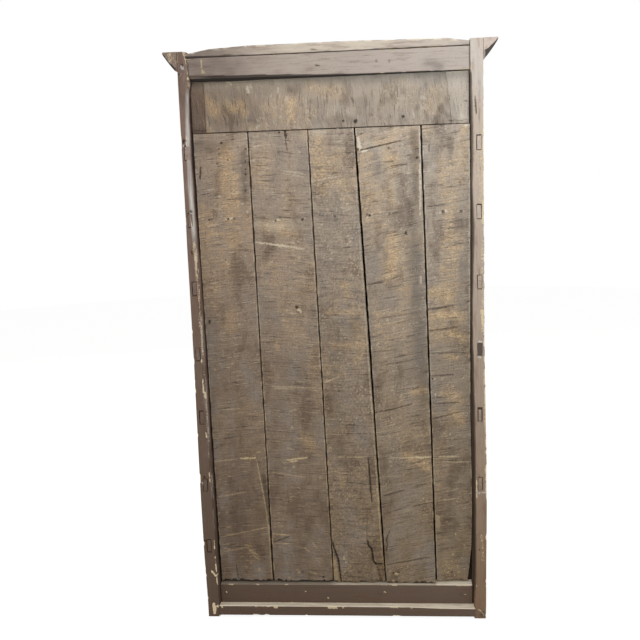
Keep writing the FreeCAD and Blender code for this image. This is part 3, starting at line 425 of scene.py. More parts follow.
class Shell:
    """Collects the skins of one piece, which stands for one CAD node, and turns them into one mesh."""

    def __init__(self, node: str, ending: str) -> None:
        """Start an empty piece that is named after its node, with an ending of its own."""
        self.node = node
        self.name = f"{node}_{ending}"
        self.points: list[Array] = []
        self.patina: list[Array] = []
        self.sawn: list[Array] = []
        self.corners: list[Array] = []
        self.totals: list[Array] = []
        self.count = 0

    def add(self, skin: Skin) -> "Shell":
        """Join the rings of a skin by quads and close both ends, with every face turned outwards.

        Args:
            skin: the skin to add.

        Returns:
            The shell itself.
        """
        rings, columns = skin.points.shape[:2]
        here = np.arange(rings * columns).reshape(rings, columns)
        beside = np.roll(here, -1, 1)
        quads = np.stack([here[:-1], beside[:-1], beside[1:], here[1:]], -1).reshape(-1, 4)
        caps = np.stack([here[0, ::-1], here[-1]])
        flat = skin.points.reshape(-1, 3)
        if self.volume(flat, quads, caps) < 0:
            quads, caps = quads[:, ::-1], caps[:, ::-1]
        paint = np.stack([skin.wear, skin.dark, skin.pale, np.ones_like(skin.wear)], -1)
        self.points.append(flat)
        self.patina.append(paint.reshape(-1, 4))
        self.sawn.append((skin.points if skin.sawn is None else skin.sawn).reshape(-1, 3))
        for faces in (quads, caps):
            self.corners.append((faces + self.count).ravel())
            self.totals.append(np.full(len(faces), faces.shape[1]))
        self.count += len(flat)
        return self

    @staticmethod
    def volume(points: Array, quads: Array, caps: Array) -> float:
        """Sum the signed volumes of the cones from the origin to each face, fanned into triangles."""
        a, b, c, d = (points[quads[:, k]] for k in range(4))
        total = np.einsum("ij,ij->", a, np.cross(b, c)) + np.einsum("ij,ij->", a, np.cross(c, d))
        for cap in caps:
            ring = points[cap]
            total += np.einsum("ij,ij->", np.broadcast_to(ring[0], ring[1:-1].shape),
                               np.cross(ring[1:-1], ring[2:]))
        return float(total)

    def piece(self, material: bpy.types.Material, body: str = "carcass", slot: str = "frame_timber") -> None:
        """Make the mesh object, seat it on its body and let it stand for its CAD node.

        Args:
            material: its finish.
            body: the CAD body that it rides on.
            slot: not used.
        """
        mesh = bpy.data.meshes.new(self.name)
        points = np.concatenate(self.points).astype(np.float32) / METRE
        corners = np.concatenate(self.corners).astype(np.int32)
        totals = np.concatenate(self.totals)
        starts = np.concatenate([[0], np.cumsum(totals)[:-1]]).astype(np.int32)
        mesh.vertices.add(len(points))
        mesh.vertices.foreach_set("co", points.ravel())
        mesh.loops.add(len(corners))
        mesh.loops.foreach_set("vertex_index", corners)
        mesh.polygons.add(len(starts))
        mesh.polygons.foreach_set("loop_start", starts)
        mesh.update(calc_edges=True)
        paint = mesh.attributes.new(PATINA, "FLOAT_COLOR", "POINT")
        paint.data.foreach_set("color", np.concatenate(self.patina).astype(np.float32).ravel())
        sawn = mesh.attributes.new(SAWN, "FLOAT_VECTOR", "POINT")
        sawn.data.foreach_set("vector", np.concatenate(self.sawn).astype(np.float32).ravel() / METRE)
        mesh.shade_smooth()
        mesh.set_sharp_from_angle(angle=CREASE)
        mesh.materials.append(material)
        made = bpy.data.objects.new(self.name, mesh)
        bpy.context.scene.collection.objects.link(made)
        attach(made, body)
        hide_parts(self.node)
        LOG.info("%s: %d points, rides on %s", self.name, len(points), body)


def add_node(tree: bpy.types.NodeTree, kind: str, inputs: dict | None = None, **settings) -> bpy.types.Node:
    """Add one node to a tree, set it up and link it.

    Args:
        tree: the node tree.
        kind: the node's type.
        inputs: sockets by name or number, each with a value or with the socket that feeds it.
        **settings: the node's own properties.

    Returns:
        The node.
    """
    node = tree.nodes.new(kind)
    for name, value in settings.items():
        setattr(node, name, value)
    for name, value in (inputs or {}).items():
        if isinstance(value, Socket):
            tree.links.new(value, node.inputs[name])
        else:
            node.inputs[name].default_value = value
    return node


@dataclass(frozen=True)
class Corners:
    """Colours at the four corners of the back, since light and dust have faded it unevenly; the paler upper
    colours also stand for painted light falling from above.
    """

    low_left: str
    low_right: str
    high_left: str
    high_right: str


BROWN = Corners("#57463a", "#57463a", "#8a786c", "#8a786c")


def stretched(grain: Grain, thin: float, long: float) -> Point:
    """Size a cell of noise that is long along the fibres and thin across them."""
    return tuple(long if axis is grain else thin for axis in Grain)


class Brew:
    """A material while it is being mixed: the coordinates, the patina masks and a colour that grows."""

    def __init__(self, name: str) -> None:
        """Start a material with Object coordinates and the three patina masks."""
        self.material = bpy.data.materials.new(name)
        self.material.use_nodes = True
        self.tree = self.material.node_tree
        self.tree.nodes.clear()
        self.place = add_node(self.tree, "ShaderNodeTexCoord").outputs["Object"]
        patina = add_node(self.tree, "ShaderNodeAttribute", attribute_name=PATINA)
        parts = add_node(self.tree, "ShaderNodeSeparateColor", {"Color": patina.outputs["Color"]})
        self.wear, self.dark, self.pale = (parts.outputs[k] for k in ("Red", "Green", "Blue"))
        self.colour: Socket | None = None

    def grain(self, size: Point, detail: float = 3.0, roughness: float = 0.6,
              place: Socket | None = None) -> Socket:
        """Add noise whose cells have a real size in millimetres along each axis.

        Args:
            size: length of a cell along X, Y and Z.
            detail: octaves of finer noise.
            roughness: strength of the finer octaves.
            place: coordinates in metres, or none for the Object coordinates.

        Returns:
            The noise from 0 to 1.
        """
        scale = tuple(METRE / length for length in size)
        turned = add_node(self.tree, "ShaderNodeMapping", {"Vector": place or self.place, "Scale": scale})
        made = add_node(self.tree, "ShaderNodeTexNoise", {"Vector": turned.outputs[0], "Scale": 1.0,
                                                          "Detail": detail, "Roughness": roughness})
        return made.outputs[0]

    def band(self, value: Socket, low: float, high: float, start: float = 0.0,
             end: float = 1.0) -> Socket:
        """Ease a value from start at low to end at high."""
        made = add_node(self.tree, "ShaderNodeMapRange", {0: value, 1: low, 2: high, 3: start, 4: end},
                        interpolation_type="SMOOTHSTEP")
        return made.outputs[0]

    def work(self, operation: str, first: Socket, second: Socket | float) -> Socket:
        """Join two values by one step of arithmetic."""
        return add_node(self.tree, "ShaderNodeMath", {0: first, 1: second}, operation=operation).outputs[0]

    def times(self, first: Socket, second: Socket | float) -> Socket:
        """Multiply two values."""
        return self.work("MULTIPLY", first, second)

    def blend(self, share: Socket | float, first: str | Socket, second: str | Socket) -> Socket:
        """Pass from one colour to another.

        Args:
            share: how much of the second one shows.
            first: hex colour or a colour socket.
            second: the same.

        Returns:
            The blended colour.
        """
        low, high = (linear(tone) if isinstance(tone, str) else tone for tone in (first, second))
        return add_node(self.tree, "ShaderNodeMix", {0: share, 6: low, 7: high}, data_type="RGBA").outputs[2]

    def lay(self, colour: str | Socket, share: Socket | float) -> None:
        """Lay a share of a colour over what is there."""
        self.colour = self.blend(share, self.colour, colour)

    def axis(self, name: str) -> Socket:
        """Take one of the Object coordinates, in metres."""
        return add_node(self.tree, "ShaderNodeSeparateXYZ", {0: self.place}).outputs[name]

    def corners(self, tones: Corners, power: float) -> Socket:
        """Blend four corner colours across the back and up it.

        Args:
            tones: the colours at the corners.
            power: how late the upper colours come in; 1 is even.

        Returns:
            The blended colour.
        """
        across = self.band(self.axis("X"), HALF / METRE, -HALF / METRE)
        low = self.blend(across, tones.low_left, tones.low_right)
        high = self.blend(across, tones.high_left, tones.high_right)
        return self.blend(self.rise(power), low, high)

    def rise(self, power: float) -> Socket:
        """Rise from 0 at the floor to 1 at the roof; a power above 1 keeps it low for longer."""
        share = add_node(self.tree, "ShaderNodeMapRange", {0: self.axis("Z"), 1: 0.0, 2: HEIGHT / METRE})
        return self.work("POWER", share.outputs[0], power)

    def finish(self, relief: Socket, depth: float, **shader) -> bpy.types.Material:
        """Close the material with a bump of a real depth in millimetres and the shader's own constants.

        Args:
            relief: height of the bump from 0 to 1.
            depth: its depth.
            **shader: constants of the shader's sockets.

        Returns:
            The material.
        """
        bump = add_node(self.tree, "ShaderNodeBump", {
            "Height": relief, "Distance": depth / METRE, "Strength": 1.0})
        constants = {name.replace("_", " ").title().replace("Ior", "IOR"): value
                     for name, value in shader.items()}
        body = add_node(self.tree, "ShaderNodeBsdfPrincipled", {
            "Base Color": self.colour, "Normal": bump.outputs[0], **constants})
        add_node(self.tree, "ShaderNodeOutputMaterial", {"Surface": body.outputs[0]})
        return self.material


@dataclass(frozen=True)
class RawPlank:
    """Rough-sawn softwood, never painted: dull grey-brown with tan wear, darker towards the floor and paler
    up high, partly as painted light from above.
    """

    name: str
    tone: Corners = Corners("#766556", "#82725e", "#b6a28e", "#dacdbe")
    tan: Corners = Corners("#997e5e", "#b59872", "#dfbb90", "#f2d4ab")
    pale: Corners = Corners("#bfa473", "#c6ad7e", "#f3e6cf", "#fffaf0")
    soot_and_shade: str = "#1f1813"
    rust: str = "#6e4a3b"

    def build(self) -> bpy.types.Material:
        """Lay clouds of grey and brown, tan wear, saw lines along the sawn coordinates, then the masks.

        The end of the top board beside the right-hand post is reddened by its paint.

        Returns:
            The material.
        """
        brew = Brew(self.name)
        sawn = add_node(brew.tree, "ShaderNodeAttribute", attribute_name=SAWN).outputs["Vector"]
        brew.colour = brew.corners(self.tone, 2.0)
        zone = brew.grain((60.0, 60.0, 130.0), 4.0)
        fine = brew.grain((60.0, 3.0, 9.0), 3.0, 0.6, sawn)
        kerf = brew.grain((90.0, 7.0, 9.0), 3.0, 0.65, sawn)
        fleck = brew.grain((7.0, 3.4, 9.0), 2.0, 0.6, sawn)
        speck = brew.grain((4.4, 4.4, 4.0), 3.0, 0.7)
        fibre = brew.grain((2.2, 8.0, 60.0), 3.0)
        patch = brew.band(brew.grain((30.0, 30.0, 24.0), 3.0), 0.38, 0.60, 0.25, 1.0)
        brew.lay("#8f8780", brew.band(zone, 0.50, 0.66, 0.0, 0.44))
        brew.lay("#574335", brew.band(zone, 0.50, 0.34, 0.0, 0.46))
        broken = brew.times(brew.band(kerf, 0.30, 0.58, 0.4, 1.0), brew.band(fleck, 0.36, 0.56, 0.35, 1.0))
        brew.lay(brew.corners(self.tan, 2.0), brew.times(brew.times(brew.wear, 1.25), broken))
        brew.lay("#2a201a", brew.times(patch, brew.band(fine, 0.46, 0.30, 0.0, 0.66)))
        brew.lay("#2a201a", brew.times(patch, brew.band(kerf, 0.42, 0.30, 0.0, 0.58)))
        beside = brew.band(brew.axis("X"), 0.398, 0.412)
        reddened = brew.times(beside, brew.band(brew.axis("Z"), 1.664, 1.668))
        brew.lay(self.rust, brew.times(reddened, 0.42))
        lit = brew.corners(self.pale, 1.3)
        ridges = brew.times(patch, brew.band(fine, 0.55, 0.70, 0.0, 0.58))
        brew.lay(lit, brew.times(ridges, brew.band(kerf, 0.40, 0.62, 0.2, 1.0)))
        brew.lay(lit, brew.times(brew.wear, brew.band(fleck, 0.57, 0.67, 0.0, 0.70)))
        brew.lay("#e6dccb", brew.times(brew.band(speck, 0.58, 0.72, 0.0, 0.44), brew.rise(0.7)))
        brew.lay("#2a211a", brew.band(speck, 0.45, 0.28, 0.0, 0.64))
        brew.lay("#33291f", brew.band(fibre, 0.44, 0.28, 0.0, 0.26))
        brew.lay(lit, brew.times(brew.pale, brew.band(speck, 0.25, 0.5, 0.5, 1.0)))
        # The dark mask lays soot on cracks, holes and dark patches, and painted shade on inward faces
        solid = brew.work("MAXIMUM", brew.band(speck, 0.34, 0.56, 0.35, 1.0), brew.band(brew.dark, 0.5, 0.7))
        brew.lay(self.soot_and_shade, brew.times(brew.dark, solid))
        relief = brew.work("ADD", brew.times(fine, 0.6), brew.times(speck, 0.4))
        return brew.finish(relief, 1.6, roughness=0.93, specular_ior_level=0.25)


@dataclass(frozen=True)
class WornPaint:
    """Old brown oil paint brushed on hewn softwood: dusty and pale up high, darker and cleaner low down, the
    paleness up high partly painted light from above.
    """

    name: str
    grain: Grain
    tone: Corners = BROWN
    bare: str = "#cdbb94"
    grey: str = "#bab4ab"
    soot_and_shade: str = "#1a1512"
    rust: str = "#6a4635"
    front: Corners | None = None

    def build(self) -> bpy.types.Material:
        """Lay brush streaks 2.4 mm wide along the timber, rusty clouds and pale dust, then the masks.

        Where a front tone is given, the faded tone of the back passes into it along the depth.

        Returns:
            The material.
        """
        brew = Brew(self.name)
        brew.colour = brew.corners(self.tone, 1.3)
        if self.front:
            brew.lay(brew.corners(self.front, 1.3), brew.band(brew.axis("Y"), 0.16, -0.13))
        streak = brew.grain(stretched(self.grain, 2.4, 200.0), 4.0)
        dust = brew.grain(stretched(self.grain, 11.0, 90.0), 4.0, 0.65)
        speck = brew.grain((4.2, 4.2, 4.2), 3.0, 0.7)
        brew.lay(self.rust, brew.band(dust, 0.50, 0.30, 0.0, 0.42))
        brew.lay("#c8bdb0", brew.times(brew.band(dust, 0.52, 0.76, 0.0, 0.30), brew.rise(1.2)))
        brew.lay("#241b15", brew.band(streak, 0.46, 0.28, 0.0, 0.26))
        brew.lay("#241b15", brew.band(speck, 0.42, 0.25, 0.0, 0.32))
        brew.lay("#d9cdb6", brew.times(brew.band(speck, 0.62, 0.80, 0.0, 0.50), brew.rise(0.7)))
        chip = brew.work("ADD", brew.wear, brew.band(speck, 0.3, 0.7, -0.28, 0.22))
        brew.lay(self.bare, brew.band(chip, 0.35, 0.62))
        brew.lay(self.grey, brew.times(brew.pale, brew.band(dust, 0.25, 0.6, 0.6, 1.0)))
        # The dark mask lays soot on cracks and holes, and painted shade on inward faces, in tenon pockets,
        # under the top rail and on the cornice soffit
        brew.lay(self.soot_and_shade, brew.dark)
        relief = brew.work("ADD", streak, brew.times(chip, -0.6))
        return brew.finish(relief, 0.8, roughness=0.72, specular_ior_level=0.35)


@dataclass(frozen=True)
class BareBoard:
    """Planed softwood left bare inside a cupboard: warm brown with darker growth lines, and painted shade
    towards the rear.
    """

    name: str
    grain: Grain
    base: str = "#7b6148"
    line: str = "#54402f"
    pale: str = "#9a7d5d"

    def build(self) -> bpy.types.Material:
        """Lay growth lines 7 mm apart and fibres 1.5 mm wide along the board."""
        brew = Brew(self.name)
        growth = brew.grain(stretched(self.grain, 7.0, 420.0), 2.0)
        fibre = brew.grain(stretched(self.grain, 1.5, 60.0))
        brew.colour = brew.blend(brew.band(growth, 0.35, 0.65), self.line, self.base)
        brew.lay(self.pale, brew.band(brew.grain((90.0, 90.0, 90.0)), 0.5, 0.75, 0.0, 0.5))
        brew.lay("#3b2c20", brew.band(fibre, 0.48, 0.30, 0.0, 0.45))
        brew.lay("#a98f6a", brew.wear)
        # Painted shade on the inner boards towards the rear, where the closed cupboard is dark behind the
        # planks
        behind = brew.band(brew.axis("Y"), 0.166, 0.174, 0.0, 0.92)
        brew.lay("#1d1814", brew.work("MAXIMUM", brew.dark, behind))
        return brew.finish(fibre, 0.35, roughness=0.8, specular_ior_level=0.3)


@dataclass(frozen=True)
class ForgedIron:
    """Wrought iron, hammered and left to brown: dark scale with dull rust in the hollows."""

    name: str
    scale: str = "#37312d"
    rust: str = "#5d3b28"

    def build(self) -> bpy.types.Material:
        """Lay rust in 6 mm clouds over dark scale and dimple it by 3 mm hammer marks."""
        brew = Brew(self.name)
        spots = brew.grain((6.0, 6.0, 6.0), 4.0)
        dents = brew.grain((3.0, 3.0, 3.0), 2.0)
        brew.colour = brew.blend(brew.band(spots, 0.45, 0.68), self.scale, self.rust)
        return brew.finish(dents, 0.4, roughness=0.58, metallic=0.75)


@dataclass(frozen=True)
class DustedIron:
    """Old nail heads, browned and under the same dust as the planks, so that they hardly stand out."""

    name: str
    tone: Corners = Corners("#5d5046", "#63574b", "#948373", "#a89b8c")
    rust: str = "#5a4334"

    def build(self) -> bpy.types.Material:
        """Lay brown spots 3 mm wide over a dusty tone that pales upwards as the planks do, partly as painted
        light from above.
        """
        brew = Brew(self.name)
        spots = brew.grain((3.0, 3.0, 3.0), 3.0)
        brew.colour = brew.corners(self.tone, 2.0)
        brew.lay(self.rust, brew.band(spots, 0.48, 0.66, 0.0, 0.6))
        return brew.finish(spots, 0.4, roughness=0.85, metallic=0.1)


@dataclass(frozen=True)
class RivenOak:
    """Split oak pegs: hard, brown and slightly polished by handling."""

    name: str

    def build(self) -> bpy.types.Material:
        """Lay rays 2 mm wide over warm brown."""
        brew = Brew(self.name)
        rays = brew.grain((2.0, 2.0, 5.0))
        brew.colour = brew.blend(brew.band(rays, 0.3, 0.7), "#4a3527", "#7d6148")
        return brew.finish(rays, 0.3, roughness=0.62)


class Finishes:
    """Every finish of the cupboard, mixed once."""

    def __init__(self) -> None:
        """Mix the finishes."""
        self.plank = RawPlank("softwood_rough_sawn").build()
        self.paint = {grain: WornPaint(f"oil_paint_worn_{grain.name.lower()}", grain).build()
                      for grain in (Grain.LEVEL, Grain.UPRIGHT)}
        self.post = WornPaint(
            "oil_paint_faded_post", Grain.UPRIGHT, Corners("#5a4839", "#826850", "#866e61", "#ddcebf"),
            bare="#e0cca9", grey="#dcd8d3", soot_and_shade="#0e0b09", front=BROWN).build()
        # The rail's cream pale colour also paints light on the upward ledges of the rail and sill
        self.rail = WornPaint(
            "oil_paint_faded_rail", Grain.LEVEL, Corners("#5a4739", "#655346", "#9c8c81", "#cdc1b7"),
            grey="#fff2da").build()
        self.side = WornPaint(
            "oil_paint_faded_side", Grain.DEEP, Corners("#5a4839", "#846f5a", "#8b776c", "#d0c4b6"),
            grey="#e6d3c9", front=BROWN).build()
        self.roof = BareBoard("softwood_dusty", Grain.LEVEL, "#85776a", "#6b5d50", "#a09384").build()
        self.board = BareBoard("softwood_planed_level", Grain.LEVEL).build()
        self.iron = ForgedIron("wrought_iron_forged").build()
        self.nail = DustedIron("wrought_iron_dusted").build()
        self.peg = RivenOak("oak_riven").build()


def stroke(path: Path, half: float, depth: float) -> Mark:
    """Make a dark crack; a thin one is paler rather than narrower than the mesh can show."""
    return Mark(path, max(half, NARROWEST), depth=depth, dark=min(0.78, 0.29 * half), edge=Edge.TAPERED,
                ragged=0.8)


def scratch(path: Path, half: float, pale: float) -> Mark:
    """Make a pale scratch; a thin one is fainter rather than narrower than the mesh can show."""
    return Mark(path, max(half, NARROWEST), depth=0.4, pale=min(1.0, pale * min(1.0, half / 2.1)),
                edge=Edge.TAPERED, ragged=1.0)


def worn(path: Path, half: float, wear: float) -> Mark:
    """Make a soft patch of tan wear."""
    return Mark(path, half, wear=wear, edge=Edge.SOFT, ragged=0.7)


def bared(path: Path, half: float, wear: float) -> Mark:
    """Bare a crisp patch of wood."""
    return Mark(path, half, wear=wear)


def hole(path: Path, half: float, depth: float) -> Mark:
    """Make a nail hole or a knot's dark eye."""
    return Mark(path, half, depth=depth, dark=0.85)


def chip(path: Path, half: float, pale: float) -> Mark:
    """Break a pale chip out of the face."""
    return Mark(path, half, depth=1.8, pale=pale, ragged=0.9)


def dark_patch(path: Path, half: float, dark: float) -> Mark:
    """Make a soft dark patch."""
    return Mark(path, half, dark=dark, edge=Edge.SOFT, ragged=0.6)


def bloom(path: Path, half: float, pale: float) -> Mark:
    """Make a soft pale stain."""
    return Mark(path, half, pale=pale, edge=Edge.SOFT)


def rows_of(make: Callable[[Path, float, float], Mark], *rows: tuple[float, ...]) -> tuple[Mark, ...]:
    """Make several marks of one kind.

    Args:
        make: the maker of one mark.
        *rows: each is a half width, a strength, and then across and height of every place on the path.

    Returns:
        The marks in the order of the rows.
    """
    return tuple(make(tuple(zip(row[2::2], row[3::2])), row[0], row[1]) for row in rows)


# Marks by kind: a row is a half width, a strength, and then across and height of each place on its path
PLANK_1_MARKS = (
    *rows_of(dark_patch, (20, 0.5, -352, 1625), (12, 0.45, -286, 1600, -290, 1450),
             (40, 0.14, -425, 1100, -420, 620), (95, 0.15, -348, 700, -345, 240),
             (28, 0.36, -425, 1628, -362, 1614), (24, 0.3, -350, 1600),
             (9, 0.5, -272, 500, -262, 400, -257, 330)),
    *rows_of(worn, (26, 0.7, -345, 1600, -340, 1400), (13, 0.9, -322, 1520, -318, 1420),
             (11, 0.55, -410, 1338, -350, 1330), (22, 0.5, -357, 1070, -352, 1018)),
    *rows_of(hole, (4.5, 3, -360, 1634), (3.2, 3, -368, 1615), (2.4, 3, -341, 1579), (2.6, 3, -377, 1567),
             (3.2, 3, -281, 1612), (3.2, 3, -283, 1573), (3.2, 3, -284, 1546), (4, 3, -285, 1531),
             (3.2, 3, -287, 1477), (3.2, 3, -413, 1386), (3, 3, -349, 1387), (2.6, 3, -338, 1384),
             (2.4, 3, -366, 1252), (6, 1, -430, 1045)),
    *rows_of(scratch, (1.8, 0.7, -298, 1266, -296, 1258), (1.8, 0.4, -400, 739, -341, 742),
             (1.8, 0.5, -438, 555, -360, 562), (3, 1, -350, 564, -293, 566),
             (1.8, 0.4, -434, 426, -334, 443), (1.8, 0.5, -431, 278, -266, 314),
             (1.8, 0.45, -423, 224, -322, 243), (1.8, 0.5, -352, 250, -325, 246),
             (1.8, 0.6, -345, 240, -318, 226), (1.8, 0.7, -336, 230, -302, 210),
             (1.8, 0.6, -322, 212, -296, 192),
             (2.2, 0.6, -293, 558, -275, 442, -265, 360, -259, 270, -257, 120)),
    *rows_of(stroke, (3, 3, -432, 1560, -437, 1520), (1.8, 3, -383, 174, -377, 122)),
    *rows_of(chip, (2.6, 0.6, -405, 1384), (3, 0.8, -357, 1386), (3, 0.9, -341, 1390, -332, 1388),
             (2.6, 0.6, -362, 1246), (2.6, 0.5, -356, 1238), (3, 0.6, -312, 222), (2.6, 0.5, -330, 205)))
PLANK_2_MARKS = (
    *rows_of(worn, (24, 0.8, -172, 1360, -150, 1330), (16, 0.7, -225, 1370, -220, 1350),
             (8, 0.8, -203, 974, -204, 944), (20, 0.6, -120, 640, -100, 600)),
    *rows_of(bloom, (18, 0.28, -242, 1366, -138, 1358)),
    *rows_of(hole, (3, 3, -168, 1660), (2.8, 3, -192, 1376), (4, 3, -103, 1378), (6, 5, -133, 1087),
             (4, 3, -75, 130)),
    *rows_of(scratch, (2.4, 0.35, -166, 1538, -93, 1526), (2, 0.3, -166, 1530, -93, 1516),
             (3.2, 0.85, -262, 1308, -200, 1299, -100, 1281), (1.8, 0.45, -230, 819, -77, 810),
             (1.8, 0.4, -220, 812, -150, 808), (2.6, 0.9, -191, 557, -116, 566),
             (2.6, 0.9, -178, 552, -150, 554), (1.8, 0.35, -240, 514, -122, 495),
             (2.4, 0.6, -246, 290, -186, 285), (1.8, 0.5, -140, 240, -120, 222),
             (1.8, 0.45, -110, 260, -95, 236)),
    *rows_of(stroke, (4, 4, -150, 1664, -147, 1640), (1.6, 3, -149, 1634, -144, 1600),
             (1.8, 3, -247, 258, -188, 280)),
    *rows_of(chip, (3, 0.9, -186, 1380, -179, 1378), (3, 0.8, -199, 1374), (3, 0.8, -96, 1381),
             (2.6, 0.7, -111, 1376), (4, 0.85, -127, 1078, -119, 1072), (4, 0.85, -160, 147),
             (3, 0.85, -196, 128)))
PLANK_3_MARKS = (
    *rows_of(dark_patch, (60, 0.12, 2, 1600, 4, 1480), (22, 0.26, 50, 1512, 52, 1470),
             (36, 0.3, -10, 950, -25, 640), (22, 0.42, 58, 1032, 61, 1015)),
    *rows_of(worn, (11, 0.7, -24, 1066, 82, 1064), (13, 0.7, -15, 954, 79, 952),
             (20, 0.55, -45, 1640, -50, 1500), (20, 0.6, 30, 1150, 35, 1120), (16, 0.6, -4, 510, 0, 470)),
    *rows_of(bloom, (14, 0.3, -52, 1658, -22, 1660)),
    *rows_of(hole, (3.4, 3, 4, 1385)),
    *rows_of(scratch, (1.8, 0.5, -60, 1502, 22, 1514), (2.4, 0.7, -46, 830, -1, 847),
             (1.8, 0.6, 21, 566, 88, 566), (1.8, 0.4, -10, 566, 10, 567)),
    *rows_of(stroke, (3, 7, -40, 262, -36, 238, -22, 198, -13, 108),
             (3.4, 8, 84, 262, 85, 247, 97, 234, 100, 193, 110, 178, 136, 178),
             (1.8, 3, 113, 168, 121, 140, 128, 112), (3, 4, 92, 562, 97, 470, 101, 406),
             (1.3, 1.5, 84, 384, 81, 256)),
    *rows_of(chip, (3, 0.85, 0, 203, -1, 196), (4, 1, 32, 112), (3, 0.8, -4, 1389)),
    Mark(((-34, 190), (-28, 112)), 8, wear=0.25, pale=0.35, edge=Edge.SOFT),
    Mark(((124, 165), (134, 112)), 13, depth=7.5, dark=0.35, wear=0.5, ragged=0.35),
    Mark(((77, 1480), (90, 1180), (102, 900)), 3.0, depth=2.0, pale=0.42, ragged=1.3),
    Mark(((102, 900), (117, 560), (128, 300), (136, 185)), 2.7, depth=2.0, pale=0.58, ragged=1.2))
PLANK_4_MARKS = (
    Mark(((85, 1634), (90, 1602)), 6.5, depth=2.0, pale=0.85, ragged=1.2),
    *rows_of(dark_patch, (26, 0.34, 254, 1420, 264, 1100, 276, 930, 284, 680), (17, 0.5, 266, 1640, 268, 1420)),
    *rows_of(worn, (22, 0.8, 190, 1578, 196, 1542), (24, 1, 195, 1300, 182, 1195),
             (30, 0.6, 150, 1620, 190, 1630), (14, 0.6, 190, 1500, 195, 1420),
             (22, 0.75, 224, 570, 290, 530), (14, 0.7, 240, 790, 285, 800)),
    *rows_of(bloom, (15, 0.26, 118, 1614, 150, 1598), (18, 0.2, 196, 1480, 208, 1430)),
    *rows_of(hole, (5, 3, 84, 1596), (5, 3, 273, 1564), (4, 3, 117, 1384), (5, 3, 234, 1324),
             (4, 3, 170, 146)),
    *rows_of(scratch, (3.4, 1, 285, 1664, 284, 1560), (3, 0.9, 283, 1550, 281, 1380),
             (1.8, 0.6, 170, 1388, 190, 1390), (1.8, 0.6, 158, 562, 250, 563), (3, 1, 240, 563, 304, 565)),
    *rows_of(stroke, (2.4, 4, 92, 1594, 154, 1606, 222, 1619), (1.8, 3, 166, 1553, 198, 1556),
             (2, 3, 191, 1540, 242, 1545), (1.8, 3, 101, 1157, 157, 1164),
             (2.2, 3, 116, 721, 185, 734, 244, 750), (1.5, 1.5, 161, 886, 288, 909),
             (1.8, 3, 235, 680, 285, 689), (1.4, 1.5, 110, 1040, 280, 1062), (1.3, 1.2, 118, 930, 200, 938),
             (1.8, 3, 138, 426, 210, 446), (1.8, 3, 242, 389, 308, 402), (1.8, 3, 150, 176, 302, 206),
             (2.2, 3, 160, 300, 148, 270, 152, 250, 146, 226)),
    *rows_of(chip, (4, 0.9, 100, 1590, 112, 1592), (4, 1, 284, 1650), (4, 1, 283, 1598),
             (4, 1, 282, 1520, 282, 1508), (3.6, 0.9, 281, 1440), (4, 0.6, 280, 1180, 281, 1160),
             (4, 0.95, 110, 1379), (3, 0.8, 125, 1389), (4, 1, 178, 143, 184, 144)))
PLANK_5_MARKS = (
    Mark(((324, 350), (326, 318)), 9, pale=0.3),
    Mark(((345, 180), (415, 140)), 24, pale=0.13, edge=Edge.SOFT, ragged=1.4),
    *rows_of(dark_patch, (22, 0.35, 400, 215)),
    *rows_of(worn, (18, 0.9, 380, 716, 410, 690), (13, 0.8, 382, 1310, 388, 1225),
             (19, 1, 318, 1125, 370, 1122), (18, 0.95, 312, 1050, 410, 1047), (10, 0.8, 361, 912, 391, 908),
             (17, 0.95, 380, 988, 414, 972), (20, 0.7, 360, 790, 402, 755),
             (14, 0.6, 350, 1550, 360, 1440)),
    *rows_of(bloom, (24, 0.3, 303, 1590, 316, 1545)),
    *rows_of(hole, (4.5, 3, 354, 1390), (3.4, 3, 412, 1390), (3.6, 3, 314, 836)),
    *rows_of(scratch, (4, 0.7, 437.5, 960, 439.5, 1110, 441.5, 1425, 440.5, 1640),
             (1.8, 0.5, 332, 411, 399, 417), (1.8, 0.35, 340, 440, 400, 452),
             (2.4, 0.7, 331, 565, 400, 566), (1.8, 0.5, 327, 547, 434, 547)),
    *rows_of(stroke, (2.2, 3, 312, 1602, 312, 1584), (1.8, 3, 295, 1069, 388, 1082),
             (2, 3, 302, 999, 398, 1009), (1.6, 3, 308, 922, 422, 924), (1.8, 3, 307, 846, 386, 849),
             (1.7, 3, 323, 749, 403, 754), (2, 3, 315, 698, 402, 720)),
    *rows_of(chip, (4, 0.6, 408, 1573), (4, 0.95, 362, 1392), (3, 0.8, 346, 1386), (3, 0.9, 403, 1389),
             (3, 0.8, 421, 1391), (5, 0.85, 430, 1658), (4, 0.6, 322, 834), (3.4, 0.85, 322, 782),
             (2.6, 0.85, 355, 333), (2.6, 0.85, 385, 289), (3, 0.85, 376, 215), (2.6, 0.6, 372, 167),
             (2.5, 0.75, 352, 176), (2.5, 0.75, 371, 190), (2.5, 0.75, 392, 172), (2.5, 0.75, 406, 203),
             (2.5, 0.75, 396, 150), (2.5, 0.75, 414, 162), (2.5, 0.75, 360, 150), (2.5, 0.75, 381, 138)))
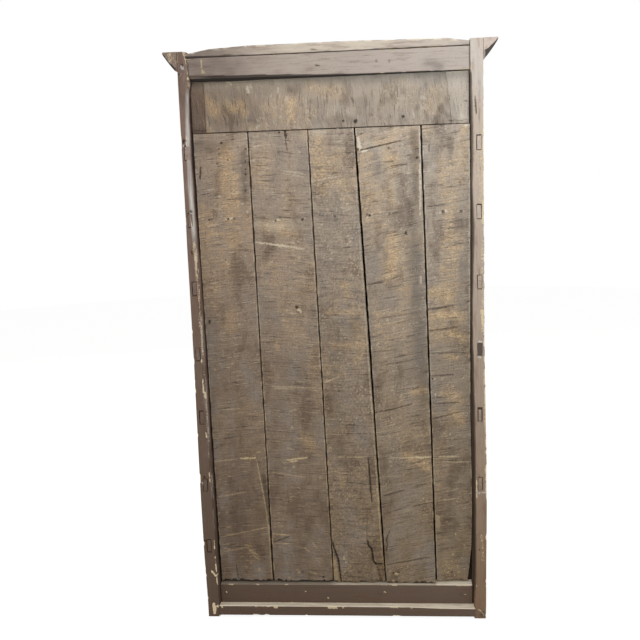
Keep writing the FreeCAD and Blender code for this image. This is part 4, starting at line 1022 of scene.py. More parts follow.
TOP_BOARD_MARKS = (
    *rows_of(dark_patch, (110, 0.43, -438, 1747, -330, 1747), (26, 0.3, -438, 1800, -425, 1690),
             (18, 0.45, -240, 1700, -370, 1695), (16, 0.35, -330, 1790, -260, 1785),
             (44, 0.28, 240, 1757, 340, 1745), (26, 0.4, 60, 1688), (16, 0.5, 352, 1720, 372, 1690)),
    *rows_of(worn, (20, 1, -318, 1742, -280, 1740), (14, 1, -126, 1755, -126, 1705),
             (20, 1, -398, 1775, -370, 1735), (22, 0.5, -60, 1800, 20, 1780),
             (24, 0.6, 310, 1735, 330, 1765)),
    *rows_of(bloom, (16, 0.5, 418, 1682, 436, 1673), (14, 0.3, -48, 1674, -22, 1674),
             (20, 0.26, 28, 1724, 46, 1708)),
    *rows_of(hole, (5, 3, 41, 1687), (7, 3, 79, 1686), (5, 3, 232, 1695)),
    *rows_of(scratch, (1.8, 0.5, 262, 1716, 266, 1690)),
    *rows_of(stroke, (2.5, 3, 376, 1676, 392, 1674), (2, 3, 425, 1736, 437, 1734)),
    *rows_of(chip, (5, 0.9, -330, 1825, -318, 1815), (4, 0.8, -266, 1806, -262, 1790),
             (3.4, 0.7, -255, 1815, -250, 1803), (3, 0.6, -165, 1800, -166, 1785),
             (5, 0.9, 422, 1674, 433, 1669), (6, 0.5, 291, 1752, 300, 1748)))
RIGHT_POST_MARKS = (
    Mark(((-461, 46), (-459, 14)), 6, depth=1.5, wear=1.0),
    Mark(((-449, 1886), (-448, 1836)), 3, wear=0.8, ragged=0.9),
    *rows_of(dark_patch, (26, 0.26, -482, 1905, -478, 1780)),
    *rows_of(bared, (3, 0.9, -462, 170, -450, 153, -444, 155), (4, 0.9, -447, 40, -455, 38),
             (4, 0.8, -452, 806, -450, 790)),
    *rows_of(hole, (5, 2, -474, 1640), (4, 3, -468, 1618), (4, 3, -463, 1416), (4, 2, -469, 512),
             (4, 3, -465, 1880), (4, 3, -476, 1852)),
    *rows_of(stroke, (2, 3, -478, 1646, -463, 1642), (2.4, 3, -482, 281, -474, 279),
             (1.8, 3, -470, 1290, -466, 1276)),
    *rows_of(chip, (5, 0.9, -470, 1610, -466, 1600), (4, 0.8, -474, 1628), (4, 0.6, -466, 1412),
             (4, 0.6, -475, 490), (3, 0.5, -470, 1150), (4, 0.8, -468, 1876, -464, 1868),
             (4, 0.85, -473, 1850)))
LEFT_POST_MARKS = (
    Mark(((474, 1070), (478, 1020)), 5, depth=1.2, wear=0.95),
    Mark(((470, 300), (474, 210)), 7, wear=0.42, edge=Edge.SOFT),
    Mark(((478, 12), (462, 30)), 5, depth=2, wear=0.6),
    Mark(((450, 1900), (470, 1780)), 30, pale=0.42, edge=Edge.SOFT, ragged=0.8),
    Mark(((477, 1300), (477, 1000)), 8, wear=0.5, edge=Edge.SOFT),
    Mark(((472, 1640), (474, 1390)), 13, wear=0.46, edge=Edge.SOFT, ragged=0.9),
    Mark(((480, 1660), (481, 1480)), 3, wear=0.9, ragged=1.2),
    *rows_of(dark_patch, (10, 0.6, 470, 16)),
    *rows_of(bared, (4, 0.9, 478, 1425, 478, 1350)),
    *rows_of(hole, (3, 3, 462, 250)),
    *rows_of(scratch, (1.8, 0.9, 444, 452, 482, 452)),
    *rows_of(stroke, (1.4, 1, 446, 452, 470, 455), (2.4, 3, 455, 1745, 459, 1690),
             (2.8, 2, 463, 508, 461, 470)),
    *rows_of(chip, (4, 1, 463, 966, 472, 964), (4, 1, 461, 918, 468, 916), (3, 0.85, 470, 500),
             (2.5, 0.85, 466, 486), (2.5, 0.85, 464, 474)))
TOP_RAIL_MARKS = (
    Mark(((-404, 1893), (-402, 1872), (-399, 1853)), 3.0, wear=0.9, ragged=0.6),
    Mark(((-403, 1856), (-396, 1853)), 5, wear=0.7, ragged=0.9),
    *rows_of(dark_patch, (16, 0.35, 310, 1850, 345, 1842), (44, 0.32, -330, 1868, -420, 1868)),
    *rows_of(stroke, (2, 3, -40, 1860, -28, 1858), (1.5, 3, 190, 1868, 190, 1858),
             (2.2, 1.5, 439, 1896, 438.5, 1828), (2.6, 1.5, -450, 1895, -446.5, 1872, -446, 1830),
             (1.4, 1, 150, 1870, 151, 1860)))
ROOF_MARKS = (
    *rows_of(dark_patch, (40, 0.3, -430, 1908, -340, 1914)),
    *rows_of(bloom, (30, 0.18, 200, 1915, 360, 1910)),
    *rows_of(stroke, (1.5, 3, -330, 1902, -310, 1904), (2, 3, -52, 1908, -36, 1907)))
DOOR_MARKS = (
    *rows_of(dark_patch, (42, 0.42, -42, 1060, -44, 1000), (20, 0.3, 10, 1050, 12, 980),
             (26, 0.3, -390, 160, 390, 160), (60, 0.18, -210, 300, -180, 290)),
    *rows_of(worn, (5, 0.75, -6, 1120, -6, 980), (5, 0.6, 230, 236, 330, 238)),
    *rows_of(scratch, (1.8, 0.5, -150, 420, -60, 470), (1.8, 0.4, 120, 610, 210, 560),
             (1.8, 0.5, -330, 330, -250, 352), (1.8, 0.6, 180, 215, 260, 204),
             (1.8, 0.6, -220, 196, -120, 214), (1.8, 0.5, 60, 176, 150, 182)))


@dataclass(frozen=True)
class Plank:
    """One upright plank of the back: its two raking edges, its saw lines and its marks.

    Each edge is a row of (height, across); foot is the height of its lower end.
    """

    number: int
    left: Path
    right: Path
    foot: float
    slope: float
    tan: float
    speckle: float
    marks: tuple[Mark, ...]
    head: float = PLANK_HEAD

    def stations(self) -> Array:
        """Return the heights of the rings: 2.6 mm apart, and 1.6 mm near the foot and the head."""
        foot = np.arange(self.foot, self.foot + 150, 1.6)
        middle = np.arange(self.foot + 150, self.head - 90, 2.6)
        head = np.arange(self.head - 90, self.head, 1.6)
        return np.concatenate([foot, middle, head, [self.head]])

    def skin(self) -> Skin:
        """Carry the plank's section up between its two raking edges and cut the saw lines and marks.

        Returns:
            The plank's skin.
        """
        width = float(np.mean([r[1] for r in self.right]) - np.mean([q[1] for q in self.left]))
        low, high = (-width / 2, BOARD_FRONT, self.foot), (width / 2, PLANK_REAR, self.head)
        made = Beam(low, high, Grain.UPRIGHT, 40 + self.number, arris=1.6, spacing=(2.4, 6.0, 16.0, 6.0),
                    pace=math.inf, hew=0.0, loss=0.0, stops=self.stations()).skin()
        height = made.height.copy()
        share = 0.5 - made.points[..., 0] / width
        left, right = along_table(self.left, height), along_table(self.right, height)
        across = left + share * (right - left)
        nibble = (cloud(height / 22, share * 0 + self.number, 61 + self.number, 3) - 0.5) * 2.6
        rim = np.abs(share - 0.5) > 0.49
        across += np.where(rim, np.sign(share - 0.5) * np.minimum(nibble, 0.6), 0.0)
        made.points[..., 0] = -across
        ragged = cloud(across / 9, share * 0 + 3.0, 71 + self.number, 3) - 0.35
        made.points[..., 2] += np.clip(ragged, 0, None) * 18 * np.exp(-(height - self.foot) / 14)
        near = made.points[..., 1] > PLANK_REAR - ROUND_EDGE
        rear = made.on(Face.FIRST_HIGH, Face.SECOND_HIGH, Face.SECOND_LOW) * near
        self.saw(made, rear)
        made.strike(self.marks, rear)
        made.stain(dark=INNER_SHADE * made.on(Face.FIRST_LOW))
        return made

    def saw(self, made: Skin, rear: Array) -> None:
        """Cut saw lines: noise that is long across the plank and short up it, tilted by the saw's slope.

        Args:
            made: the plank's skin.
            rear: 1 on the rear face.
        """
        seed = 100 + 13 * self.number
        across, height = made.across, made.height
        tilted = height - self.slope * across + 10 * noise(across / 120, height / 100, seed)
        zone = cloud(across / 75, height / 170, seed + 1, 3)
        lines = cloud(across / 34, tilted / 4.6, seed + 2, 2)
        coarse = cloud(across / 110, tilted / 22, seed + 3, 2)
        fleck = cloud(across / 7.5, tilted / 4.0, seed + 4, 2)
        dots = cloud(across / 4.4, height / 4.8, seed + 5, 2)
        made.sink(rear * (1.5 * (1 - lines) + 0.9 * (1 - coarse) + 0.5 * (1 - zone)))
        # Tan wear grows up the plank, partly as painted light from above
        bright = ease(0.42, 0.66, zone) * (0.30 + 0.70 * ease(250, 1150, height))
        calm = 0.45 + 0.55 * ease(250, 1000, height)
        tan = self.tan * bright * (0.30 + 0.70 * ease(0.35, 0.65, lines))
        speckled = self.speckle * ease(0.46, 0.66, dots) * (0.25 + 0.75 * bright)
        # Painted highlight along both long edges of the plank, as the lit arris of each joint
        rim = np.exp(-(made.rim / 2.6) ** 2) * ease(0.40, 0.66, cloud(height / 16, across / 40, seed + 6, 3))
        length, strength = (15.0, 0.34) if self.number < 3 else (3.8, 0.55)
        specks = ease(0.80, 0.92, noise(across / length, tilted / 3.6, seed + 8))
        specks = specks * ease(0.42, 0.62, cloud(across / 60, height / 80, seed + 9, 2))
        made.sawn = np.stack([across, tilted, np.full(across.shape, 100.0 * self.number)], -1)
        flecked = 0.25 * speckled * ease(0.60, 0.72, fleck)
        hollows = 0.12 * calm * ease(0.42, 0.25, coarse) * (1 - bright)
        made.stain(wear=rear * np.clip(tan + 0.6 * speckled, 0, 1),
                   pale=rear * np.clip(flecked + 0.6 * rim + strength * specks, 0, 1),
                   dark=rear * np.clip(0.34 * self.speckle * ease(0.44, 0.28, dots) + hollows, 0, 1))


@dataclass
class BackBoards:
    """The raw boards of the back: five raking planks below one level board."""

    finishes: Finishes
    level_end: float = 452.5
    level_top: float = 1880.0
    planks: tuple[Plank, ...] = (
        Plank(1, ((108, -437), (250, -438.5), (400, -440.5), (700, -443), (965, -445.5), (1100, -447),
                  (1237, -449), (1370, -450), (1500, -450.5), (1665, -451)),
              ((108, -254), (250, -257), (560, -258), (1665, -273)), 116, 0.10, 0.5, 0.1, PLANK_1_MARKS),
        Plank(2, ((108, -250.5), (1665, -269.5)), ((108, -41), (1665, -77)), 115, -0.09, 0.35, 0.15,
              PLANK_2_MARKS),
        Plank(3, ((108, -38.5), (1665, -74.5)), ((108, 141), (1665, 73)), 110, -0.02, 0.42, 0.7,
              PLANK_3_MARKS),
        Plank(4, ((108, 145), (700, 119.2), (900, 112), (1300, 94.8), (1500, 85), (1665, 77)),
              ((108, 316), (1665, 286)), 109, 0.20, 0.45, 0.15, PLANK_4_MARKS),
        Plank(5, ((108, 320), (1665, 290)),
              ((108, 424), (180, 433), (250, 440), (400, 442.5), (490, 442), (705, 439.5), (915, 439.5),
               (1110, 441.5), (1425, 443.5), (1665, 442.5)), 118, 0.11, 0.62, 0.1, PLANK_5_MARKS))

    def build(self) -> None:
        """Build the planks and the level board over them."""
        boards = {f"back_plank_{plank.number}": plank.skin for plank in self.planks}
        boards["back_top_board"] = self.top_board
        for name, make in boards.items():
            Shell(name, "sawn").add(make()).piece(self.finishes.plank, slot="raw_plank")

    def top_board(self) -> Skin:
        """Carry the level board's section along it; saw lines stand upright and both ends are planed thin.

        Returns:
            The board's skin.
        """
        made = Beam((-POST_IN, BOARD_FRONT, TOP_BOARD_LOW), (self.level_end, TOP_BOARD_REAR, self.level_top),
                    Grain.LEVEL, 77, arris=1.5, spacing=(6.0, 2.4, 6.0, 16.0), pace=2.6, hew=0.0,
                    loss=0.0).skin()
        across, height = made.across, made.height
        near = made.points[..., 1] > TOP_BOARD_REAR - ROUND_EDGE
        rear = made.on(Face.SECOND_HIGH) + made.on(Face.FIRST_LOW) * near
        tilted = across + 0.12 * height + 16 * noise(across / 70, height / 50, 300)
        lines = cloud(tilted / 4.8, height / 30, 301, 2)
        fleck = cloud(tilted / 4.4, height / 8.5, 302, 2)
        zone = cloud(across / 110, height / 70, 303, 3)
        coarse = cloud(tilted / 26, height / 140, 304, 2)
        sloped = 376 + (1747 - height) * 0.105 + 7 * (cloud(height / 14, height * 0, 305, 3) - 0.5)
        ends = np.maximum(ease(-407, -409, across), ease(0, 1.5, across - sloped))
        ends = ends * ease(TOP_RAIL_LOW + 2, TOP_RAIL_LOW, height) * rear
        rough = rear * (1 - ends)
        bright = ease(0.44, 0.68, zone)
        made.sink(rough * (1.0 * (1 - lines) + 0.8 * (1 - coarse)) + 9.0 * ends)
        made.sawn = np.stack([height, tilted, np.full(across.shape, 700.0)], -1)
        # Painted light along the board's top edge, growing to the right, which cancels the shade under the
        # top rail
        lit_under_rail = rear * np.interp(across, [-440, -300, 0, 430], [0.4, 0.5, 0.75, 0.95])
        lit_under_rail *= np.exp(-np.abs(height - TOP_RAIL_LOW) / 15)
        made.stain(wear=rough * 0.35 * bright * (0.3 + 0.7 * ease(0.35, 0.65, lines)),
                   pale=np.maximum(rough * ease(0.64, 0.76, fleck) * 0.38 * bright, lit_under_rail)
                   + ends * 0.22 * ease(0, 200, across),
                   dark=ends * 0.44 * ease(0, -200, across)
                   + rough * (0.14 + 0.16 * ease(0.46, 0.30, zone)))
        made.strike(TOP_BOARD_MARKS, rough + ends * 0.9)
        made.stain(dark=INNER_SHADE * made.on(Face.SECOND_LOW))
        return made


@dataclass
class BackFrame:
    """The painted frame of the back: rear posts, top rail, bottom rail and sill."""

    finishes: Finishes
    pocket: Span = (7.6, 22.2)
    pocket_depth: float = 8.0
    tenon_centre: float = 466.5
    top_rail_end: float = 452.0
    sill_x: Span = (-449.0, 442.0)
    right_inner: tuple[Point, ...] = (
        (0, 441.5, 441), (118, 442.5, 441), (267, 446, 442.5), (412, 448, 443), (556, 450.5, 444.5),
        (697, 454, 445), (837, 455, 445), (974, 456, 446), (1109, 457, 447.2), (1242, 459.5, 449),
        (1373, 466.5, 453), (1503, 468, 455), (1630, 466.5, 456), (1756, 462.5, 454), (1795, 456.5, 451.5),
        (1829, 447.5, 445.5), (1871, 448, 446), (1892, 451, 447), (1907, 456, 449), (1920, 462, 452))
    left_inner: tuple[Point, ...] = (
        (0, 443, 442), (123, 450, 446.5), (267, 452.5, 448.5), (410, 452.5, 449), (549, 452, 448.5),
        (687, 450.5, 447), (823, 448.5, 445.5), (957, 445, 443.5), (1088, 445.2, 443.5), (1218, 448, 446),
        (1346, 451.5, 447), (1472, 447, 445), (1627, 450.5, 446), (1764, 447.2, 444), (1815, 446, 444),
        (1830, 440.5, 440), (1920, 440.5, 440))
    right_bow: Path = ((50, 0), (118, 1.3), (219, 3.4), (421, 4.2), (623, 3.4), (724, 2.4), (900, 1),
                       (1300, 1), (1400, 0))
    left_bow: Path = ((0, 1), (50, 2.4), (219, 3.6), (421, 6), (623, 6.2), (724, 4.7), (825, 3), (926, 1),
                      (1400, 0))

    def build(self) -> None:
        """Build the posts and the rails."""
        for side, sign in SIDES:
            Shell(f"rear_post_{side}", "painted").add(self.post(sign)).piece(self.finishes.post)
        for name, skin in (("back_top_rail", self.top_rail()), ("back_bottom_rail", self.bottom_rail()),
                           ("back_sill", self.sill())):
            Shell(name, "painted").add(skin).piece(self.finishes.rail)

    def post(self, sign: int) -> Skin:
        """Carry a post's section up; each tenon comes through a pocket with its own outline.

        Args:
            sign: the side of the cupboard, -1 for the left and 1 for the right.

        Returns:
            The post's skin.
        """
        low_x, high_x = on_side((POST_IN, HALF), sign)
        made = Beam((low_x, POST_FRONT, 0.0), (high_x, REAR, HEIGHT), Grain.UPRIGHT, 11 + sign, arris=2.2,
                    spacing=(2.0, 3.0, 9.0, 3.0), pace=3.6, hew=1.0, loss=0.9).skin()
        reach = self.pare(made, sign, self.right_inner if sign > 0 else self.left_inner)
        x, y, z = made.axes
        across = np.abs(x) - self.tenon_centre
        shown = RAIL_LEVELS[0 if sign > 0 else 1:-1] + (RAIL_LEVELS[-1] + TOP_TENON_LIFT,)
        gap = np.abs(z[..., None] - np.array(shown)).min(-1)
        inside = np.maximum(np.abs(across) - self.pocket[0], gap - self.pocket[1])
        sunk = ease(0.6, -0.6, inside) * made.on(Face.FIRST_HIGH)
        made.points[..., 1] -= sunk * self.pocket_depth
        # Painted shade in the sunken pocket round each tenon end
        made.stain(dark=sunk * 0.7)
        shade = 216 if sign > 0 else 236
        # Painted shade on the inner side of the post, down in the gap beside the planks
        inner_side_shade = ease(reach + 4, reach - 2, np.abs(x)) * ease(shade, shade - 7, y) * ease(168, 176, y)
        made.stain(dark=inner_side_shade * (made.side != Face.FIRST_HIGH.value)[None, :] * ease(60, 130, z))
        if sign > 0:
            self.right_post(made)
        else:
            self.left_post(made)
        return made

    def pare(self, made: Skin, sign: int, inner: tuple[Point, ...]) -> Array:
        """Pare the inner side of a post: its face and its wane retreat by a wavering line up the post.

        The section is stretched between the outer side and that line, so no point falls on another.

        Args:
            made: the post's skin.
            sign: the side of the cupboard.
            inner: rows of height, where the rear face ends and where the side lies at the wane's foot.

        Returns:
            The place of the inner side for each point.
        """
        x, y, z = made.axes
        waver = 2.4 * (cloud(z / 38, z * 0 + sign, 17, 3) - 0.5) * ease(1860, 1825, z)
        rear, deep = (along_table(inner, z, column) + waver for column in (1, 2))
        level = np.clip((y - (REAR - WANE_DEPTH)) / WANE_DEPTH, 0, 1)
        side = deep + (rear - deep) * level
        side = POST_IN + (side - POST_IN) * ease(184, 188, y)
        share = (np.abs(x) - POST_IN) / (HALF - POST_IN)
        made.points[..., 0] = sign * (side + share * (self.outer(made, sign) - side))
        return side

    def outer(self, made: Skin, sign: int) -> Array:
        """Find the outer side of a post, which bows outwards by a few millimetres towards the rear.

        Args:
            made: the post's skin.
            sign: the side of the cupboard.

        Returns:
            The place of the outer side for each point.
        """
        bow = along_table(self.right_bow if sign > 0 else self.left_bow, made.height)
        return HALF + bow * ease(165, 225, made.points[..., 1])

    def right_post(self, made: Skin) -> None:
        """Weather the waney strip, grey and bare up high and brown below, and mark the post."""
        x, y, z = made.axes
        edge, deep = (along_table(self.right_inner, z, column) for column in (1, 2))
        strip = ease(edge + 2.5, edge - 1.5, x) * ease(218, 226, y)
        grey = ease(1300, 1345, z) * ease(1815, 1775, z)
        core = np.exp(-((x - (0.55 * edge + 0.45 * deep)) / 6.0) ** 2)
        rough = cloud(z / 30, x / 4, 19, 2) - 0.5
        line = np.exp(-((x - edge + 3.5) / 4.6) ** 2) * ease(218, 226, y)
        streak = cloud(z / 46, x / 2.4, 21, 3)
        silver = grey * (0.66 + 0.4 * rough + 0.28 * ease(0.35, 0.6, streak))
        faint = (1 - grey) * 0.30 * ease(0.4, 0.65, streak) * ease(100, 600, z)
        bare = 0.44 + 0.40 * ease(0.36, 0.60, streak)
        bare = bare * np.interp(z, [120, 420, 1000, 1300], [0, 0.5, 0.66, 1])
        made.stain(pale=strip * core * (silver + faint), wear=(1 - grey) * line * bare)
        rear = np.clip(made.on(Face.FIRST_HIGH) + made.on(Face.SECOND_LOW) * (y > REAR - 22), 0, 1)
        made.strike(RIGHT_POST_MARKS, rear)

    def left_post(self, made: Skin) -> None:
        """Wear the outer arris of the straighter post to cream and mark it with a splice line and splits."""
        x, y, z = made.axes
        width = 5.0 + 2.5 * ease(1080, 980, z)
        outer = np.exp(-((-x - self.outer(made, -1)) / width) ** 2) * ease(REAR - 14, REAR - 3, y)
        rough = cloud(z / 26, x * 0 + 0.5, 24, 3)
        band = ease(380, 520, z) * ease(1830, 1780, z)
        made.stain(wear=outer * band * ease(0.35, 0.55, rough) * 0.9)
        made.sink(outer * band * 1.6 * ease(0.35, 0.55, rough))
        rear = np.clip(made.on(Face.FIRST_HIGH) + (y > REAR - 12), 0, 1)
        made.strike(LEFT_POST_MARKS, rear)

    def top_rail(self) -> Skin:
        """Carry the top rail along; a wane opens along its lower rear arris towards the right-hand post."""
        made = Beam((-POST_IN, TOP_BOARD_REAR, TOP_RAIL_LOW), (self.top_rail_end, REAR, RAIL_TOP),
                    Grain.LEVEL, 33, arris=1.5, spacing=(6.0, 2.6, 3.0, 9.0), pace=5.0, hew=0.9,
                    loss=0.5).skin()
        x, y, z = made.axes
        wane = np.interp(x, [-440, -100, 110, 300, 440], [2, 2.5, 9.5, 15.5, 20])
        wane = wane * (1 + 0.34 * (cloud(x / 52, x * 0, 34, 3) - 0.5))
        past = (y - REAR + wane) / wane + (TOP_RAIL_LOW + wane - z) / wane - 1
        over = np.clip(past, 0, None) * wane / 2
        made.points[..., 1] -= over
        made.points[..., 2] += over
        under = ease(0.0, 0.1, past)
        rear = made.on(Face.SECOND_HIGH)
        # Painted shadow: the downward wane and the rail's underside are darkened nearly to black
        made.stain(dark=np.maximum(under * (0.8 - 0.3 * ease(370, 430, x)), made.on(Face.FIRST_LOW) * 0.97),
                   pale=rear * 0.09 * np.exp(-((x - 110) / 130) ** 2))
        made.strike(TOP_RAIL_MARKS, rear)
        return made

    def bottom_rail(self) -> Skin:
        """Carry the bottom rail along; its upper face is pale, partly dust and partly painted light on the
        upward face.
        """
        made = Beam((-POST_IN, SILL_FRONT, SILL_TOP), (POST_IN, BOTTOM_RAIL_REAR, BOTTOM_RAIL_TOP),
                    Grain.LEVEL, 35, spacing=(5.0, 3.0, 9.0, 9.0), pace=5.0, hew=0.8, loss=0.7).skin()
        top = made.on(Face.FIRST_HIGH)
        swept = ease(312, 322, made.across)
        inwards = np.clip((BOTTOM_RAIL_REAR - made.points[..., 1]) / 30, 0, 1)
        made.points[..., 2] += top * swept * 5 * inwards
        # Pale upper face: part dust, part painted light where the ledge faces up
        dust = 0.25 + 0.35 * ease(-60, -20, made.across)
        made.stain(pale=top * (dust + (1 - dust) * swept))
        rear = made.on(Face.SECOND_HIGH)
        flecks = ((-420, 77), (-138, 80), (-60, 58), (137, 80), (417, 74))
        made.strike([Mark((place,), 3.2, depth=0.6, wear=1.0, ragged=0.8) for place in flecks], rear)
        return made

    def sill(self) -> Skin:
        """Carry the sill along; its ledge is pale, partly dust and partly painted light on the upward face,
        and its rear arris is chipped.
        """
        left, right = self.sill_x
        made = Beam((left, SILL_FRONT, SILL_LOW), (right, REAR, SILL_TOP), Grain.LEVEL, 37,
                    spacing=(4.0, 4.0, 9.0, 9.0), pace=5.0, hew=0.8, loss=0.9).skin()
        x, y, z = made.axes
        top = np.clip(made.on(Face.FIRST_HIGH) * ease(208, 214, y), 0, 1)
        bare = ease(0.52, 0.66, cloud(x / 46, y / 10, 39, 3))
        ridge = made.on(Face.FIRST_HIGH, Face.SECOND_HIGH) * (y > REAR - 5) * (z > 30)
        chipped = ease(0.70, 0.76, cloud(x / 24, y * 0 + 2.0, 36, 3))
        rise = np.interp(x, [-440, -330, -220, 440], [0.5, 1.0, 5.5, 6.0])
        lifted = rise + (4 - rise) * np.clip((REAR - 2 - y) / 30, 0, 1)
        made.points[..., 2] += np.clip((z - SILL_LOW) / (SILL_TOP - SILL_LOW), 0, 1) * lifted
        # Pale ledge: part dust, part painted light where it faces up
        made.stain(pale=top * (0.85 + 0.15 * cloud(x / 60, y / 8, 38, 2)),
                   wear=np.maximum(top * bare * 0.6, ridge * chipped))
        return made


def field_panel(made: Skin, out: Array, inset: Array, rough: Array) -> None:
    """Raise a panel's field: a straight bevel, then a small step up to the flat middle.

    Painted shade darkens the foot of the bevel and the quirk at the step; the step's arris is worn.

    Args:
        made: the panel's skin.
        out: 1 on the side that is fielded.
        inset: distance of each point from the nearest sight edge, less the flat border.
        rough: noise that breaks up the wear.
    """
    rise = PANEL_RAISE * np.clip(inset / PANEL_BEVEL, 0, 1)
    step = PANEL_STEP * ease(PANEL_BEVEL - 1, PANEL_BEVEL + 1, inset) - PANEL_STEP
    made.sink(-out * np.clip(rise + step * (inset > 0), 0, None))
    foot = 0.5 * ease(4, -3, inset) + 0.12 * ease(18, 0, inset)
    quirk = 0.45 * np.exp(-((inset - PANEL_BEVEL + 2.4) / 2.2) ** 2)
    worn_edge = np.exp(-((inset - PANEL_BEVEL - 1.8) / 1.8) ** 2)
    made.stain(dark=out * np.maximum(foot, quirk), wear=out * 0.55 * worn_edge * ease(0.52, 0.70, rough),
               pale=out * 0.16 * worn_edge)


@dataclass
class SideFrames:
    """The two panelled sides: rails with through tenons and fielded panels."""

    finishes: Finishes
    sight: Span = (FRONT_POST_REAR, POST_FRONT)
    rail_x: Span = (452.0, HALF)
    rail_half: float = 28.0
    bottom_rail_low: float = 38.0
    top_rail_low: float = 1800.0
    panel_x: Span = (462.2, 471.8)
    tenon_x: Span = (460.0, 473.0)
    tenon_half: float = 21.0
    tenon_start: float = 160.0
    tenon_end: float = 241.5
    sunken_end: float = 231.0
    painted_end: float = 236.0

    def build(self) -> None:
        """Build the rails and panels of both sides."""
        middle = [(level - self.rail_half, level + self.rail_half) for level in RAIL_LEVELS]
        spans = [(self.bottom_rail_low, FLOOR_LEVEL)] + middle + [(self.top_rail_low, RAIL_TOP)]
        kinds = ["bottom_rail"] + ["middle_rails"] * len(middle) + ["top_rail"]
        for side, sign in SIDES:
            shells = {kind: Shell(f"{side}_side_{kind}", "painted") for kind in kinds}
            for number, (kind, span) in enumerate(zip(kinds, spans)):
                shells[kind].add(self.beam(sign, self.rail_x, self.sight, span, 200 + number))
                if kind == "middle_rails":
                    shells[kind].add(self.tenon(sign, number))
            for shell in shells.values():
                shell.piece(self.finishes.side)
            panels = Shell(f"{side}_side_panels", "painted")
            for number, (lower, upper) in enumerate(zip(spans[:-1], spans[1:])):
                panels.add(self.panel(sign, lower[1], upper[0], 230 + number))
            panels.piece(self.finishes.post)

    def beam(self, sign: int, x: Span, y: Span, z: Span, seed: int, arris: float = 2.0) -> Skin:
        """Make one timber that runs from front to back on a side of the cupboard."""
        low_x, high_x = on_side(x, sign)
        return Beam((low_x, y[0], z[0]), (high_x, y[1], z[1]), Grain.DEEP, seed + 50 * sign, arris=arris,
                    pace=10.0).skin()

    def tenon(self, sign: int, number: int) -> Skin:
        """Make the end of a through tenon; in the left post two have shrunk and the lowest is painted over.

        Args:
            sign: the side of the cupboard.
            number: the rail's number from the floor.

        Returns:
            The tenon's skin.
        """
        highest = number == len(RAIL_LEVELS)
        sunken = sign < 0 and number == 4
        level = RAIL_LEVELS[number - 1] + (TOP_TENON_LIFT if highest else 0.0)
        x, z, end = self.tenon_x, (level - self.tenon_half, level + self.tenon_half), self.tenon_end
        if sunken:
            z, end = (level - 20.0, level + 20.0), self.sunken_end
        if sign < 0 and number == 1:
            end = self.painted_end
        if sign < 0 and number == 3:
            x, z = (460.0, 470.0), (level - 22.0, level + 16.0)
        made = self.beam(sign, x, (self.tenon_start, end), z, 260 + number, 0.8)
        made.points[..., 0] += 0.8 * (-1) ** number
        made.points[..., 2] += 0.8 * (-1) ** (number // 2)
        if sign < 0:
            # Left tenons pale up high; the shrunken tenon's end, deep in its mortise, is darkened as painted
            # shade
            made.stain(pale=0.4 * ease(900, 1500, made.height), dark=0.85 if sunken else 0.0)
        if sign > 0:
            made.stain(pale=0.3 if highest else 0.0)
            edge, deep = (along_table(BackFrame.right_inner, made.height, column) for column in (1, 2))
            share = np.clip((made.points[..., 0] - deep) / (edge - deep), 0, 1)
            slant = REAR - WANE_DEPTH + 1 + WANE_DEPTH * share
            made.points[..., 1] = np.minimum(made.points[..., 1], slant)
        return made

    def panel(self, sign: int, low: float, high: float, seed: int) -> Skin:
        """Carry a panel up between two rails: its field rises over the bevel to a flat middle.

        Args:
            sign: the side of the cupboard.
            low: upper edge of the rail below.
            high: lower edge of the rail above.
            seed: picks the grain.

        Returns:
            The panel's skin.
        """
        front, rear = self.sight
        low_x, high_x = on_side(self.panel_x, sign)
        out, back = Face.SECOND_HIGH, Face.SECOND_LOW
        if sign < 0:
            out, back = back, out
        made = Beam((low_x, front - PANEL_TONGUE, low - PANEL_TONGUE),
                    (high_x, rear + PANEL_TONGUE, high + PANEL_TONGUE), Grain.UPRIGHT, seed, arris=1.0,
                    spacing=tuple(3.5 if face is out else 14.0 for face in Face), pace=3.5, hew=0.2,
                    loss=0.0).skin()
        y, z = made.points[..., 1], made.points[..., 2]
        inset = np.minimum(np.minimum(y - front, rear - y), np.minimum(z - low, high - z)) - PANEL_BORDER
        field_panel(made, made.on(out), inset, cloud(y / 20, z / 20, seed + 7, 2))
        made.stain(dark=INNER_SHADE * made.on(back))
        return made


